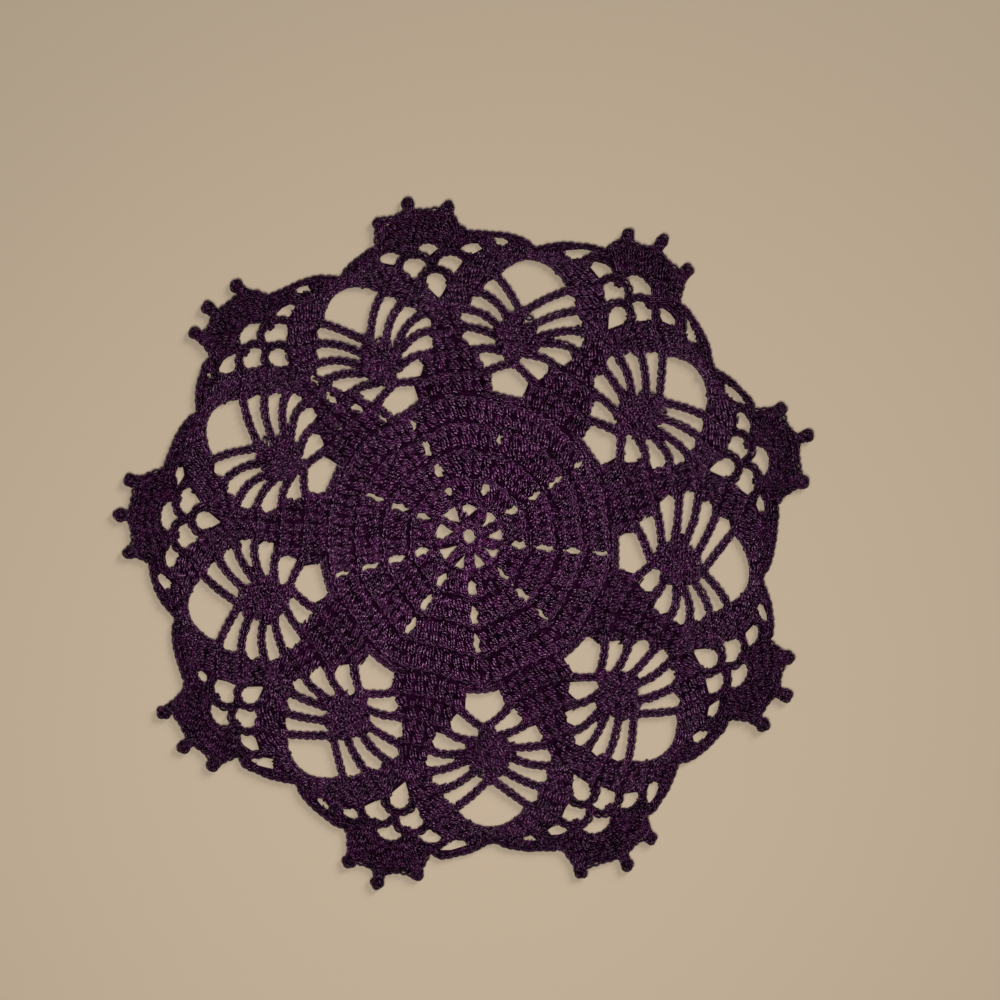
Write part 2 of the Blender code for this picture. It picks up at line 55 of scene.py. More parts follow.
# ---- how each repeat's oval and lattice sit against an even ninefold plan
#  oval: bearing of the oval               near, far: outward shift of its near and far ends
#  lean: turn of far end against near      tilt: outward shift of one flank against the other
#  ccw, cw: swelling of the two flanks     fan, reach, sway: turn, outward shift, lean of lattice
#  pull, swing: shift of the cluster in the oval, outwards and sideways
UNEVEN_COLUMNS = ("oval", "near", "far", "lean", "tilt", "ccw", "cw", "fan", "reach", "sway",
                  "pull", "swing")
UNEVEN = [
    (35.2, -0.23, -0.78, 0.77, -0.09, -0.47, 0.54, 0.38, -0.23, 0.24, -0.31, 0.32),
    (76.2, -0.78, -0.65, 0.86, -0.09, -0.82, 0.64, 0.48, -3.04, 2.54, -1.61, 0.96),
    (117.6, -2.29, -2.34, 0.48, -0.31, -0.64, 0.06, -0.39, -1.36, 1.01, -3.4, -0.52),
    (156.8, -0.02, 0.0, -1.89, 0.07, -0.58, -0.33, 0.35, -0.61, -0.77, -3.4, 1.01),
    (195.8, 0.58, 1.01, -0.51, 0.07, -0.28, -0.24, 0.49, 0.92, -0.61, -0.31, 1.48),
    (235.4, 1.47, 0.49, -0.71, 0.18, -0.5, 0.17, 0.12, 1.07, -0.74, 0.74, 0.82),
    (275.0, 2.15, 1.46, -0.3, -0.01, 0.2, 0.14, -0.37, 2.93, 0.2, -0.03, 0.28),
    (313.4, 1.53, 1.46, -1.03, -0.09, -0.46, -0.11, -0.15, 0.31, -0.79, 0.1, -0.32),
    (352.8, 0.31, -0.55, -1.17, -0.48, 0.01, -0.72, 1.24, -0.42, -0.92, -0.15, -1.6),
]
UNEVEN_BY = {name: np.array([row[i] for row in UNEVEN]) for i, name in enumerate(UNEVEN_COLUMNS)}
NEAR_END, FAR_END = 41.6, 68.9  # radii where the near and far shifts apply in full
CLUSTER_AT = 56.2  # radius of the middle of a cluster
PULL_OUT, PULL_SIDE = 9.0, 8.0  # how far round it its shift is felt

# ---- nine triangular spaces: radius and bearing of the inner corner, of the anticlockwise and of
#      the clockwise outer corner, and radius midway between these
TRIANGLES = [
    (4.9, 37.0, 7.4, 54.6, 8.0, 34.2, 8.0),
    (5.8, 91.5, 7.6, 106.0, 7.4, 77.0, 8.0),
    (5.0, 125.0, 7.8, 144.0, 8.4, 116.5, 9.5),
    (4.2, 168.0, 7.7, 187.5, 7.7, 158.5, 8.5),
    (4.2, 219.5, 8.3, 226.5, 8.5, 206.5, 8.8),
    (5.5, 258.0, 9.1, 262.5, 8.9, 244.5, 9.2),
    (5.3, 287.8, 8.5, 301.0, 9.5, 281.5, 9.3),
    (5.3, 322.5, 8.4, 337.0, 8.8, 317.0, 8.9),
    (5.0, 358.0, 7.8, 373.0, 8.7, 353.5, 8.5),
]
# ---- chain spaces on the line of each oval: turn of the line at its start, then length, width
#      and slant of the space in each round of the middle (0: closed up)
LINE_SPACES = [
    (-4.6, 4.6, 1.37, -4, 2.9, 1.03, -9, 4.6, 0.88, 10, 2.2, 0.6, 15),
    (-5.6, 3.5, 1.37, -4, 0.0, 0.0, 0, 2.0, 0.8, 8, 0.0, 0.0, 0),
    (-2.8, 2.9, 0.88, 28, 3.9, 1.46, 12, 3.8, 1.36, 5, 1.9, 0.75, -21),
    (0.0, 4.5, 1.37, 15, 4.9, 1.2, 11, 4.5, 0.8, 8, 0.0, 0.0, 0),
    (1.9, 4.5, 1.57, -4, 4.6, 1.12, 1, 4.2, 0.96, 7, 3.5, 0.55, 5),
    (2.4, 4.5, 1.37, -1, 4.9, 1.29, 0, 4.2, 1.36, 4, 0.0, 0.0, 0),
    (-1.9, 4.4, 1.76, 1, 4.8, 1.55, 5, 4.5, 0.96, 6, 0.0, 0.0, 0),
    (-1.6, 4.9, 0.98, -2, 4.2, 1.55, 12, 3.6, 0.55, 9, 0.0, 0.0, 0),
    (-2.6, 4.5, 1.37, 5, 4.9, 1.2, 4, 4.2, 0.8, 4, 3.7, 0.75, 2),
]
LINE_MIDS = (13.6, 20.1, 26.8, 34.2)  # radius of the middle of those spaces
LINE_UNTURNS = 0.75  # share of the starting turn that is gone at the last
LINE_BLUNT, SLIM_BLUNT = 0.65, 0.45  # length of a slim space's straight sides, as a share
# ---- gaps where one wedge is drawn apart: radius, bearing, half length, half width, slant
TORN_SPACES = [(38.4, 126.6, 1.8, 0.4, 111.0), (44.3, 131.3, 1.7, 0.5, 107.0),
               (51.1, 135.0, 1.8, 0.5, 94.0), (57.2, 134.8, 1.2, 0.45, 83.0),
               (44.5, 139.9, 0.9, 0.4, 98.0), (13.8, 128.9, 1.1, 0.4, 123.0)]
# ---- spaces between the chain bars of an oval (out, side): end at the cluster and its width, the
#      nearer and the farther corner on the rim, and how far the long sides bow outwards
BAR_SPACES = [
    (48.6, 2.1, 0.9, 44.4, 7.6, 47.7, 9.4, -0.1, 0.6),
    (51.7, 5.5, 0.8, 49.5, 13.5, 53.0, 14.2, -0.2, 0.7),
    (55.8, 7.8, 0.7, 55.2, 15.9, 57.7, 16.2, -0.1, 0.7),
    (58.2, 4.5, 0.8, 60.5, 15.1, 63.1, 12.8, 0.2, 0.6),
    (61.0, 1.6, 1.1, 65.5, 12.1, 68.0, 9.6, 0.1, 0.9),
    (49.2, -2.5, 1.2, 44.9, -7.2, 48.6, -8.5, -0.1, 0.8),
    (52.7, -5.6, 0.5, 49.7, -13.1, 53.2, -13.3, -0.3, 0.9),
    (56.5, -9.3, 0.5, 55.2, -15.6, 57.2, -15.9, -0.3, 1.0),
    (57.7, -4.6, 0.6, 60.6, -14.6, 62.7, -13.1, 0.1, 0.9),
    (59.8, -1.7, 1.3, 65.3, -11.9, 67.3, -9.4, 0.1, 1.0),
]
# ---- corners of the large outer and inner space of an oval (out, side)
OUTER_SPACE = [(63.0, -0.1), (66.5, 4.3), (69.9, 8.4), (71.6, 6.9), (73.0, 4.9), (74.1, 2.4),
               (74.5, 0.0), (74.1, -2.7), (73.0, -5.3), (71.6, -7.2), (69.9, -8.5), (66.5, -4.4)]
INNER_SPACE = [(46.1, 0.3), (44.8, 3.0), (43.1, 5.1), (40.6, 4.5), (38.4, 3.7), (38.8, 0.0),
               (38.2, -3.8), (40.6, -4.2), (42.9, -4.5), (44.8, -3.2), (46.1, -1.0)]
# ---- spaces of a lattice: radius, bearing from the lattice's line, length of the pointed inner
#      and of the round outer end, half width; and their sizes in each repeat
LATTICE_SPACES = [
    (69.0, 0.0, 3.5, 2.9, 2.3),
    (73.7, 3.5, 2.9, 2.7, 2.8),
    (74.0, -3.35, 2.8, 2.6, 2.7),
    (78.5, 0.35, 2.0, 2.3, 3.7),
    (77.5, 7.55, 1.5, 1.4, 3.3),
    (77.2, -7.6, 1.0, 0.95, 2.6),
]
LATTICE_SIZES = [
    (0.92, 1.08, 0.97, 1.18, 1.03, 1.04), (1.0, 1.08, 0.92, 0.8, 0.91, 0.97),
    (0.9, 1.02, 1.1, 1.12, 1.12, 1.06), (0.9, 1.06, 1.0, 1.1, 0.93, 0.76),
    (0.86, 1.03, 1.06, 1.05, 1.0, 0.66), (0.97, 1.06, 1.04, 1.0, 0.9, 0.86),
    (0.97, 1.05, 1.07, 1.18, 0.97, 1.0), (0.97, 1.0, 0.92, 0.98, 0.87, 0.84),
    (0.95, 1.05, 1.02, 1.15, 0.94, 0.72),
]
# ---- slim spaces behind the edging: repeat, radius, bearing from the lattice's line, half length,
#      half width, slant; their corners, outwards in half widths and along in half lengths
EDGE_SPACES = [
    (0, 79.1, -12.7, 2.85, 0.95, -18.0), (0, 79.2, 12.5, 3.3, 1.0, 21.0),
    (1, 78.5, -12.8, 2.0, 0.8, -16.0), (2, 79.6, -13.3, 1.9, 0.6, -14.0),
    (2, 79.6, 12.1, 1.2, 0.5, 28.0), (3, 79.4, 12.5, 2.2, 0.95, 27.0),
    (4, 79.1, 12.6, 2.6, 1.1, 22.0), (5, 78.4, -13.1, 2.1, 0.5, -16.0),
    (5, 79.1, 12.4, 3.0, 0.9, 16.0), (6, 78.2, -13.4, 1.5, 0.5, -13.0),
    (6, 79.5, 12.6, 2.7, 1.2, 24.0), (7, 78.3, -12.9, 1.8, 0.95, -10.0),
    (7, 78.9, 12.6, 2.2, 0.65, 26.0), (8, 78.8, 12.9, 2.9, 0.95, 19.0),
]
EDGE_CORNERS = [(0.3, -1.45), (0.85, -0.3), (0.6, 1.15), (-0.95, 0.75), (-0.6, -0.3)]
# ---- edging chain before and after a shell: bearing from the oval's line, radius; shifts outwards
EDGE_BEFORE_SHELL = [(0.0, 78.5), (1.0, 79.0), (2.0, 79.9), (3.2, 80.5), (5.0, 81.1), (7.0, 81.6),
                     (9.0, 81.9), (10.8, 82.3)]
EDGE_AFTER_SHELL = [(30.0, 83.1), (31.5, 82.8), (33.0, 82.1), (35.0, 81.4), (37.0, 80.2),
                    (38.6, 79.1)]
EDGING_SHIFTS = [(0.8, 0.0), (-0.5, -1.3), (0.9, 0.2), (-0.5, 0.4), (-0.1, 0.7), (0.1, 0.2),
                 (0.5, 1.3), (0.7, -0.3), (-0.2, -0.4)]
# ---- radius of each shell's flanks at these turns from its first and its last picot
FLANK_TURNS = (-2.8, -2.2, -1.6, 1.6, 2.2)
SHELL_FLANKS = [
    (82.6, 83.1, 84.5, 85.0, 83.5), (82.5, 83.3, 83.7, 81.7, 81.2), (84.1, 85.0, 86.6, 83.3, 83.0),
    (82.0, 83.0, 84.8, 84.4, 83.9), (82.0, 82.8, 83.3, 83.0, 83.0), (82.1, 82.4, 83.4, 82.2, 82.5),
    (82.0, 83.0, 83.2, 82.8, 83.4), (82.5, 82.8, 83.9, 82.4, 83.2), (82.1, 83.0, 83.6, 81.6, 82.2),
]
SHELL_TOP = (88.9, 88.4)  # radius of the shell between its picots
FLANK_BELOW_TIP = 3.0  # how far a flank stays inside the tip of its picot
PICOT_RADIUS = 1.55
PICOT_NECK = 1.25  # half width where a picot leaves the shell
PICOT_TIP = (1.4, 1.0)  # its outer corners, outwards and sideways
PICOT_SIDE = 0.1  # how far out its widest place is
# ---- the three picots of each shell: bearing from the lattice's line, radius of the tip
PICOTS = [
    (-5.1, 91.4, 0.7, 93.5, 6.3, 90.2),
    (-3.9, 89.9, 2.0, 92.2, 7.9, 88.4),
    (-4.2, 92.0, 1.5, 93.0, 6.4, 91.2),
    (-5.2, 91.0, 0.2, 92.8, 6.5, 90.0),
    (-5.5, 92.0, 0.6, 92.8, 6.4, 90.0),
    (-4.8, 90.4, 0.2, 93.5, 6.4, 89.0),
    (-5.9, 90.7, 1.9, 93.2, 7.5, 90.4),
    (-4.9, 91.9, 0.6, 93.3, 6.2, 89.8),
    (-4.9, 90.0, 1.8, 93.6, 7.5, 89.4),
]

# ---- thread, and under it the hearts of the stitches (felt): a dark sheet of painted shade in place of the imported solid
THREAD, TAPER = 0.36, 0.6  # half its thickness, and its ends' share of that
TWIST_LENGTH = 1.3  # one turn of its two plies
TWIST_LATER, TWIST_AGAIN = 10.0, 970.0  # how much later the next thread's twist is, and the most
LOWEST = 0.02
FELT_LOW, FELT_HIGH, FELT_INSET = 0.10, 0.45, 0.42

# ---- a tall stitch: wraps of three strands each up its round front
WRAP, WRAP_LONG = 2.5, 1.12  # stitch to each wrap, and how much of that a wrap runs over
WRAP_ENDS = (-0.04, 1.03)  # where wraps stop at foot and head, as shares of the stitch
STRAND, STRAND_BACK = 0.64, 0.44  # from strand to strand, sideways and downwards
SLANT = 0.8  # sideways run of a wrap, as a share of the stitch's width
SIDE_KEPT = 0.18  # how far a strand stays inside the stitch's sides
FRONT_RISE, FRONT_ROUND = 0.34, 0.9  # rise of the front from the sides, and how round it is
WAIST, END_DIP = 0.14, 0.06  # how far it is drawn in between wraps, and at foot and head
STRAND_DIVES = 0.34  # how far a strand's ends are under the front
STRAND_BOWS, OUTER_LESS = 0.6, 0.16  # rise of a strand from its ends, and less for outer ones
STRAND_LOWEST, STRAND_THICK = 0.28, (0.98, 1.22)
STRAY = {"lift": 0.08, "middle": 0.07, "long": 0.12, "swell": 0.12, "slant": 0.30, "slip": 0.14,
         "side": 0.07, "bow": 0.12}  # standard deviations from all this
# ---- two loops over its head: how far apart at the ends and more in the middle, their rise, more
#      for the outer one, stray of the height, thickness
HEAD_CLOSE, HEAD_WIDE, HEAD_RISE, HEAD_TILT = 0.10, 0.42, 0.26, 0.06
HEAD_STRAY, HEAD_THICK = 0.04, 0.92

# ---- a chain: links of two legs each over a back strand
LINK = 1.95  # length of one link
LINK_BULGE = 0.68  # how far its legs stand apart from its middle
LEG_EARLY, LEG_LONG = 0.22, 1.36  # start before the link and length of a leg, in links
LEG_CLOSE = 0.16  # distance of a leg's ends from the chain's middle
LEG_SKEW, LEG_FULL = 0.85, 0.8  # below 1, the bulge is earlier and fuller
LEG_LOW, LEG_RISE, LEG_FALL, LEG_TOP_EARLY = 0.10, 0.50, 0.18, 1.02
UNDER_DOWN, UNDER_RISE, UNDER_THICK = 0.12, 0.10, 1.1  # the back strand
LINK_STRAY, LIFT_STRAY = 0.06, 0.05  # standard deviations of the bulge and the height

# ---- strands on the wrong side: number tried, half side of the square they are tried in, half
#      length, standard deviation of the bend; height, its range, rise of the middle, thickness
BACKS, BACKS_REACH, BACK_HALF, BACK_BEND = 9500, 92.0, 0.95, 0.25
BACK_LOW, BACK_HIGHER, BACK_BOWS, BACK_THICK = 0.36, 0.16, 0.16, 0.95

# ---- first round: radius of its chain, of its heads and where their width is taken, how much
#      they fan out; how far outside the ring's hole its feet and the ring's chain are
FIRST_CHAIN, FIRST_HEAD, FIRST_WIDTH_AT, FIRST_FAN = 9.5, 9.3, 8.8, 1.06
FIRST_FOOT, RING_CHAIN = 0.85, 0.95
# ---- solid rounds: inner and outer radius, stitches in each repeat
ROUNDS = [(8.6, 15.6, 3), (15.6, 22.7, 5), (22.7, 29.8, 7), (29.8, 36.8, 9)]
LINE_KEPT = 0.05  # how far they stay away from a line space
ACROSS = 1.4  # half length of the chain over a line space
# ---- rounds of the wedges: inner and outer radius, half width, stitches
WEDGES = [(36.8, 43.2, 9.5, 7), (43.2, 49.4, 7.6, 5), (49.4, 55.6, 4.3, 3), (55.6, 61.8, 4.0, 3)]
# ---- how far above a round's inner radius its feet are, and below the outer one its heads
ROUND_FOOT, WEDGE_FOOT = 0.65, 0.6
HEAD_IN, TOP_CHAIN_IN = 0.3, 0.8
# ---- the stitch between a wedge and its lattice: foot, head (out, side) and their widths
KEYSTONE = ((61.4, 0.0), (65.1, 0.0), 1.9, 1.5)
# ---- blocks that part round a lattice (out, side towards the oval): base from inner to outer
#      corner, top likewise, stitches; and how far inside these their feet, heads and chain are
BLOCKS = [
    ((61.6, -0.2), (61.2, 5.4), (69.7, 2.8), (64.5, 10.1), 4),
    ((69.7, 2.8), (64.5, 10.1), (73.6, 8.4), (68.2, 15.6), 4),
    ((73.6, 8.6), (68.2, 15.6), (76.6, 15.4), (70.2, 20.0), 4),
    ((75.9, 16.6), (70.2, 20.0), (72.2, 26.2), (69.9, 25.4), 3),
]
BLOCK_FOOT, BLOCK_HEAD, BLOCK_CHAIN = 0.35, 0.3, 0.7

# ---- chain bars of an oval, three points each from the cluster to the rim (out, side), and how
#      far they run on into both
BARS = [
    ((47.1, 1.0), (45.2, 4.4), (43.4, 6.8)),
    ((50.3, 4.2), (49.7, 7.8), (48.4, 11.2)),
    ((54.1, 7.3), (54.2, 10.9), (54.1, 14.8)),
    ((56.7, 6.0), (58.5, 10.9), (59.0, 15.6)),
    ((59.3, 2.9), (62.1, 7.5), (64.2, 12.5)),
    ((62.4, 1.0), (65.8, 5.2), (68.6, 8.8)),
    ((47.3, -1.6), (45.5, -3.8), (43.4, -6.0)),
    ((51.0, -4.2), (50.4, -7.8), (48.6, -10.9)),
    ((54.6, -7.8), (54.7, -12.0), (53.6, -15.1)),
    ((56.9, -7.0), (58.5, -11.7), (58.8, -15.6)),
    ((59.0, -3.4), (62.1, -8.1), (64.0, -12.7)),
    ((62.4, -1.3), (65.8, -5.2), (68.6, -9.4)),
]
INTO_CLUSTER, INTO_RIM = 1.6, 1.2
# ---- chain along an oval's inner rim, and how far outside its outer space another one is
SILL = [(37.7, -6.2), (37.9, -3.0), (37.9, 0.0), (37.9, 3.0), (37.7, 6.2)]
OUTER_MIDDLE, OUTER_CHAIN = (66.0, 0.0), 0.55
# ---- rows of short stitches in a cluster: radius, half width, stitches
CLUSTER_ROWS = [(48.0, 1.8, 2), (50.2, 3.9, 4), (52.5, 5.7, 5), (54.9, 6.1, 6), (57.3, 4.8, 5),
                (59.6, 3.2, 3), (61.6, 1.6, 2)]
ROW_HALF, ROW_CHAIN = 1.2, 0.9  # half height of a row, and where the chain on it is
DOME_RISE, DOME_IN, DOME_HALF = 0.55, 1.5, 8.5  # height, shift inwards and half length
CLUSTER_LOW, CLUSTER_CHAIN_LOW, CLUSTER_LOOSE, CLUSTER_CHAIN_LOOSE = 0.55, 0.95, 0.18, 0.2

# ---- chain arches of a lattice (out, side)
ARCHES = [
    ((68.6, 4.4), (71.6, 3.2), (73.2, 0.0), (71.6, -3.2), (68.6, -4.4)),
    ((73.2, 8.9), (76.0, 7.4), (77.2, 4.5), (76.4, 1.6), (74.2, 0.1)),
    ((73.2, -8.9), (76.0, -7.2), (77.2, -4.5), (76.4, -1.6), (74.2, -0.1)),
    ((76.0, 4.0), (78.6, 4.3), (80.8, 2.7), (81.5, 0.0), (80.8, -2.7), (78.6, -4.3), (76.0, -4.0)),
    ((76.4, 15.3), (79.0, 13.4), (79.8, 9.8), (78.6, 6.6)),
    ((76.0, -15.5), (78.4, -13.6), (79.2, -10.0), (78.2, -6.8)),
]
# ---- edging: how far its chain is inside the outline and the shell's flank, and turned from the
#      last picot; short stitches under it: first place, pitch, inner and outer end, width, height
EDGING_IN, EDGING_IN_FLANK, EDGING_TURN, EDGING_BULGE = 1.05, 1.2, 2.4, 0.42
SHORT_FROM, SHORT_PITCH, SHORT_FOOT, SHORT_HEAD, SHORT_WIDE, SHORT_LOW = 0.6, 1.35, 5.0, 0.7, 1.5, 0.42
# ---- shell: feet of its stitches (radius, bearing from the lattice's line), number, widths
SHELL_BASE = [(77.9, -4.9), (79.0, -4.0), (80.4, -2.7), (81.7, 0.0), (80.4, 2.7), (79.0, 4.1),
              (77.9, 5.2)]
SHELL_STITCHES, SHELL_WIDTHS = 13, (1.35, 1.95)
#      heads: radius, more in the middle and how flat, how far inside the flanks, how far past
#      the first and the last picot
SHELL_HEADS, SHELL_BULGE, SHELL_FLAT, HEADS_IN_FLANK = 85.6, 1.7, 0.6, 0.6
HEADS_PAST = (2.4, 2.0)
#      chain on them: radius and turn at the picots, how far inside the flanks and the top, share
#      of the flanks' turns
RIM_AT_PICOTS, RIM_TURNS = (87.4, 88.4, 87.0), (0.2, 0.0, -0.2)
RIM_IN_FLANK, RIM_IN_TOP, RIM_TURN = 1.0, 1.1, 0.9
# ---- picot: radius and unevenness of its loop, half spread of its neck's three chains, and from
#      shell to loop how far inwards they are and their share of the spread
LOOP_RADIUS, LOOP_UNEVEN, NECK_HALF = 0.95, 0.12, 0.72
NECK = [(3.6, 1.2), (2.0, 1.0), (0.4, 0.6)]

# ---- map of where the plan is open: half side and step
PLAN_REACH, PLAN_STEP = 105.0, 0.1

# ---- cotton: dark and light dye, roughness of these, tint and refraction of the gloss; the refraction, highest for the middle and lowest for the shells, is painted light that makes the gloss stronger in the middle
THREAD_DYE, THREAD_ROUGH = ((0.005, 0.0, 0.0046), (0.062, 0.0004, 0.055)), (0.30, 0.46)
# dark dye of the sheet under the threads: painted shade between the strands
HEART_PAINTED_SHADE_DYE, HEART_ROUGH = ((0.010, 0.0, 0.009), (0.020, 0.0006, 0.018)), (0.85, 1.0)
GLOSS_TINT = (0.97, 0.485, 1.0, 1)
LIT_TO_SHADED_GLOSS_INDEX = {"middle": 1.63, "thread": 1.525, "rim": 1.365}
TABLE_COLOUR = (0.60, 0.511, 0.395, 1)

# ---- picture: width seen at the table, its pixels, pixel of the doily's middle, camera height
SEEN, PICTURE, RING_AT, CAMERA_HIGH, SENSOR = 260.0, 1000, (469.0, 536.4), 950.0, 36.0
# ---- in metres: half side of the table; lights: spot, size, power, colour; light of the room
TABLE_HALF = 1.5
LIGHTS = {"lamp": ((1.45, 1.35, 1.20), 1.00, 28.0, (1.0, 0.93, 0.86)),
          "ceiling": ((-0.02, -0.08, 0.42), 0.20, 1.15, (1.0, 0.93, 0.86))}
ROOM_COLOUR, ROOM_LIGHT = (1.0, 0.93, 0.88, 1), 0.055


# -------- plan
def place(radius, bearing):
    """Even ninefold plan -> the doily as it lies, for arrays of radii and bearings."""
    radius, bearing = np.broadcast_arrays(np.asarray(radius, float), np.asarray(bearing, float))
    u = UNEVEN_BY
    half = STEP / 2
    oval = np.rint((bearing % 360.0) / STEP).astype(int) % REPEATS
    off = np.radians(bearing - STEP * oval)
    out, side = radius * np.cos(off), radius * np.sin(off)
    felt = np.exp(-((out - CLUSTER_AT) / PULL_OUT) ** 2 - (side / PULL_SIDE) ** 2)
    out = out + felt * u["pull"][oval]
    side = side + felt * u["swing"][oval]
    radius, bearing = np.hypot(out, side), STEP * oval + np.degrees(np.arctan2(side, out))
    turn = bearing % 360.0
    j = np.floor(turn / half).astype(int) % (2 * REPEATS)
    f = turn / half - np.floor(turn / half)
    k = j // 2
    after = (k + 1) % REPEATS
    start = u["oval"][k]
    end = u["oval"][after] + np.where(after == 0, 360.0, 0.0)
    middle = (start + end) / 2 + u["fan"][k]
    first = j % 2 == 0
    own = np.where(first, k, after)
    side = np.where(first, 1.0, -1.0)
    away = np.where(first, f, 1.0 - f)
    angle = np.where(first, start + (middle - start) * f, middle + (end - middle) * f)
    swell = np.where(first, u["ccw"][own], -u["cw"][own])
    weight = np.cos(pi / 2 * away) ** 2
    along = np.clip((radius - NEAR_END) / (FAR_END - NEAR_END), -0.3, 1.4)
    grow = np.minimum(1.0, radius / NEAR_END)
    hump = np.sin(pi * away)
    out = weight * grow * (u["near"][own] + (u["far"][own] - u["near"][own]) * along)
    out += (1 - weight) * grow * u["reach"][k] * np.clip(along, 0.0, 1.0)
    out += u["tilt"][own] * side * hump
    twist = weight * u["lean"][own] * (along - 0.5) + (1 - weight) * u["sway"][k] * (along - 1)
    twist += swell * hump
    return radius + out, angle + twist * grow


def lay(points, base=0.0):
    """(..., 2) of (out, side) about a bearing of the even plan -> (..., 2) of (x, y) as it lies."""
    points = np.asarray(points, float)
    out, side = points[..., 0], points[..., 1]
    return polar(*place(np.hypot(out, side), base + np.degrees(np.arctan2(side, out))))


def polar(radius, bearing):
    """Radius and bearing -> (..., 2) of (out, side) or (x, y)."""
    bearing = np.radians(bearing)
    return np.stack([radius * np.cos(bearing), radius * np.sin(bearing)], -1)


def about(radius, bearing, points, slant=0.0):
    """Points given outwards and sideways from a spot at radius and bearing -> (out, side)."""
    a = radians(bearing)
    s = a + radians(slant)
    return [(radius * cos(a) + o * cos(s) - t * sin(s), radius * sin(a) + o * sin(s) + t * cos(s))
            for o, t in points]


def bar_space(row):
    """Outline of the space between two chain bars: tip, bowed side, rim corners, bowed side."""
    tip, near, far = (np.array(row[n:n + 2]) for n in (0, 3, 5))
    tip_wide, near_bow, far_bow = row[2], row[7], row[8]
    way = (near + far) / 2 - tip
    way /= hypot(*way)
    across = np.array([abs(way[1]), -way[0] * (1 if way[1] > 0 else -1)]) * tip_wide / 2
    cap = 0.22 * hypot(*(far - near)) + 0.15
    return [tip - across, (tip - across + near) / 2 + (near_bow, 0.0), near,
            (near + far) / 2 + way * cap, far, (tip + across + far) / 2 + (far_bow, 0.0), tip + across]


def lattice_space(row, size):
    """Outline of a lattice space: pointed towards the middle, round outwards."""
    radius, bearing = row[:2]
    tip, top, half = (length * size for length in row[2:])
    side = [(-0.38 * tip, 0.60 * half), (0.05 * top, half), (0.70 * top, 0.68 * half)]
    mirrored = [(out, -s) for out, s in reversed(side)]
    return about(radius, bearing, [(-tip, 0.0)] + side + [(top, 0.0)] + mirrored)


def slim_space(radius, bearing, half_long, half_wide, slant, blunt=SLIM_BLUNT):
    """Six-cornered slim space lying across its bearing, turned by slant."""
    return about(radius, bearing, [
        (0.0, -half_long), (half_wide, -blunt * half_long), (half_wide, blunt * half_long),
        (0.0, half_long), (-half_wide, blunt * half_long), (-half_wide, -blunt * half_long)], slant)


def edge_space(radius, bearing, half_long, half_wide, slant):
    """Three-cornered slim space behind the edging chain, pointed towards the shell."""
    points = [(out * half_wide, side * half_long) for out, side in EDGE_CORNERS]
    if bearing < 0:
        points = [(out, -side) for out, side in reversed(points)]
    return about(radius, bearing, points, slant)


def ring_radius(bearing):
    """Radius of the starting ring's hole at a bearing."""
    return RING_HOLE + RING_LONGER * cos(2 * radians(bearing - RING_WAY))


def line_turn(k, radius):
    """How far the line of chain spaces of oval k has turned at a radius."""
    share = (np.asarray(radius, float) - LINE_MIDS[0]) / (LINE_MIDS[-1] - LINE_MIDS[0])
    return LINE_SPACES[k][0] * (1.0 - LINE_UNTURNS * np.clip(share, -0.2, 1.1))


def all_spaces():
    """Every space cut through the doily, as closed loops of (x, y)."""
    loops = [[polar(ring_radius(bearing), bearing) for bearing in range(0, 360, 36)]]
    for near, at, far_a, at_a, far_b, at_b, far in TRIANGLES:
        corners = [(near, at), (0.45 * near + 0.55 * far_b, 0.42 * at + 0.58 * at_b), (far_b, at_b),
                   (far, 0.5 * at_a + 0.5 * at_b), (far_a, at_a),
                   (0.45 * near + 0.55 * far_a, 0.42 * at + 0.58 * at_a)]
        loops.append([polar(*corner) for corner in corners])
    loops.extend(slim_space(*row) for row in TORN_SPACES)
    for k in range(REPEATS):
        sizes = LINE_SPACES[k][1:]
        for middle, length, wide, lean in zip(LINE_MIDS, sizes[0::3], sizes[1::3], sizes[2::3]):
            if length > 0:
                turn = float(line_turn(k, middle))
                spot = slim_space(middle, turn, length / 2, wide / 2, 90.0 + lean, LINE_BLUNT)
                loops.append(lay(spot, STEP * k))
        loops.append(lay(INNER_SPACE, STEP * k))
        loops.extend(lay(bar_space(row), STEP * k) for row in BAR_SPACES)
        loops.append(lay(OUTER_SPACE, STEP * k))
        fan = STEP * (k + 0.5)
        for row, size in zip(LATTICE_SPACES, LATTICE_SIZES[k]):
            loops.append(lay(lattice_space(row, size), fan))
        loops.extend(lay(edge_space(*row[1:]), fan) for row in EDGE_SPACES if row[0] == k)
    return [[tuple(p) for p in loop] for loop in loops]


def outer_edge():
    """The outline of the doily as one loop of (x, y): chain edging, shells and picots."""
    loop = []
    for k in range(REPEATS):
        out, back = EDGING_SHIFTS[k]
        row = [(tip, STEP / 2 + bearing) for bearing, tip in zip(PICOTS[k][0::2], PICOTS[k][1::2])]
        flank = [(min(r, row[n][0] - FLANK_BELOW_TIP), row[n][1] + turn)
                 for r, turn, n in zip(SHELL_FLANKS[k], FLANK_TURNS, (0, 0, 0, 2, 2))]
        edge = [(r + out, b) for b, r in EDGE_BEFORE_SHELL] + flank[:3]
        for n, (tip, bearing) in enumerate(row):
            half = [PICOT_TIP, (PICOT_SIDE, PICOT_RADIUS), (-PICOT_RADIUS, PICOT_NECK)]
            knob = about(tip - PICOT_RADIUS, bearing, [(o, -s) for o, s in reversed(half)] + half)
            edge += [(hypot(o, s), degrees(atan2(s, o))) for o, s in knob]
            if n < 2:
                edge.append((SHELL_TOP[n], (bearing + row[n + 1][1]) / 2))
        edge += flank[3:] + [(r + back, b) for b, r in EDGE_AFTER_SHELL]
        laid = polar(*place([r for r, b in edge], [b + STEP * k for r, b in edge]))
        loop += [tuple(p) for p in laid]
    return loop


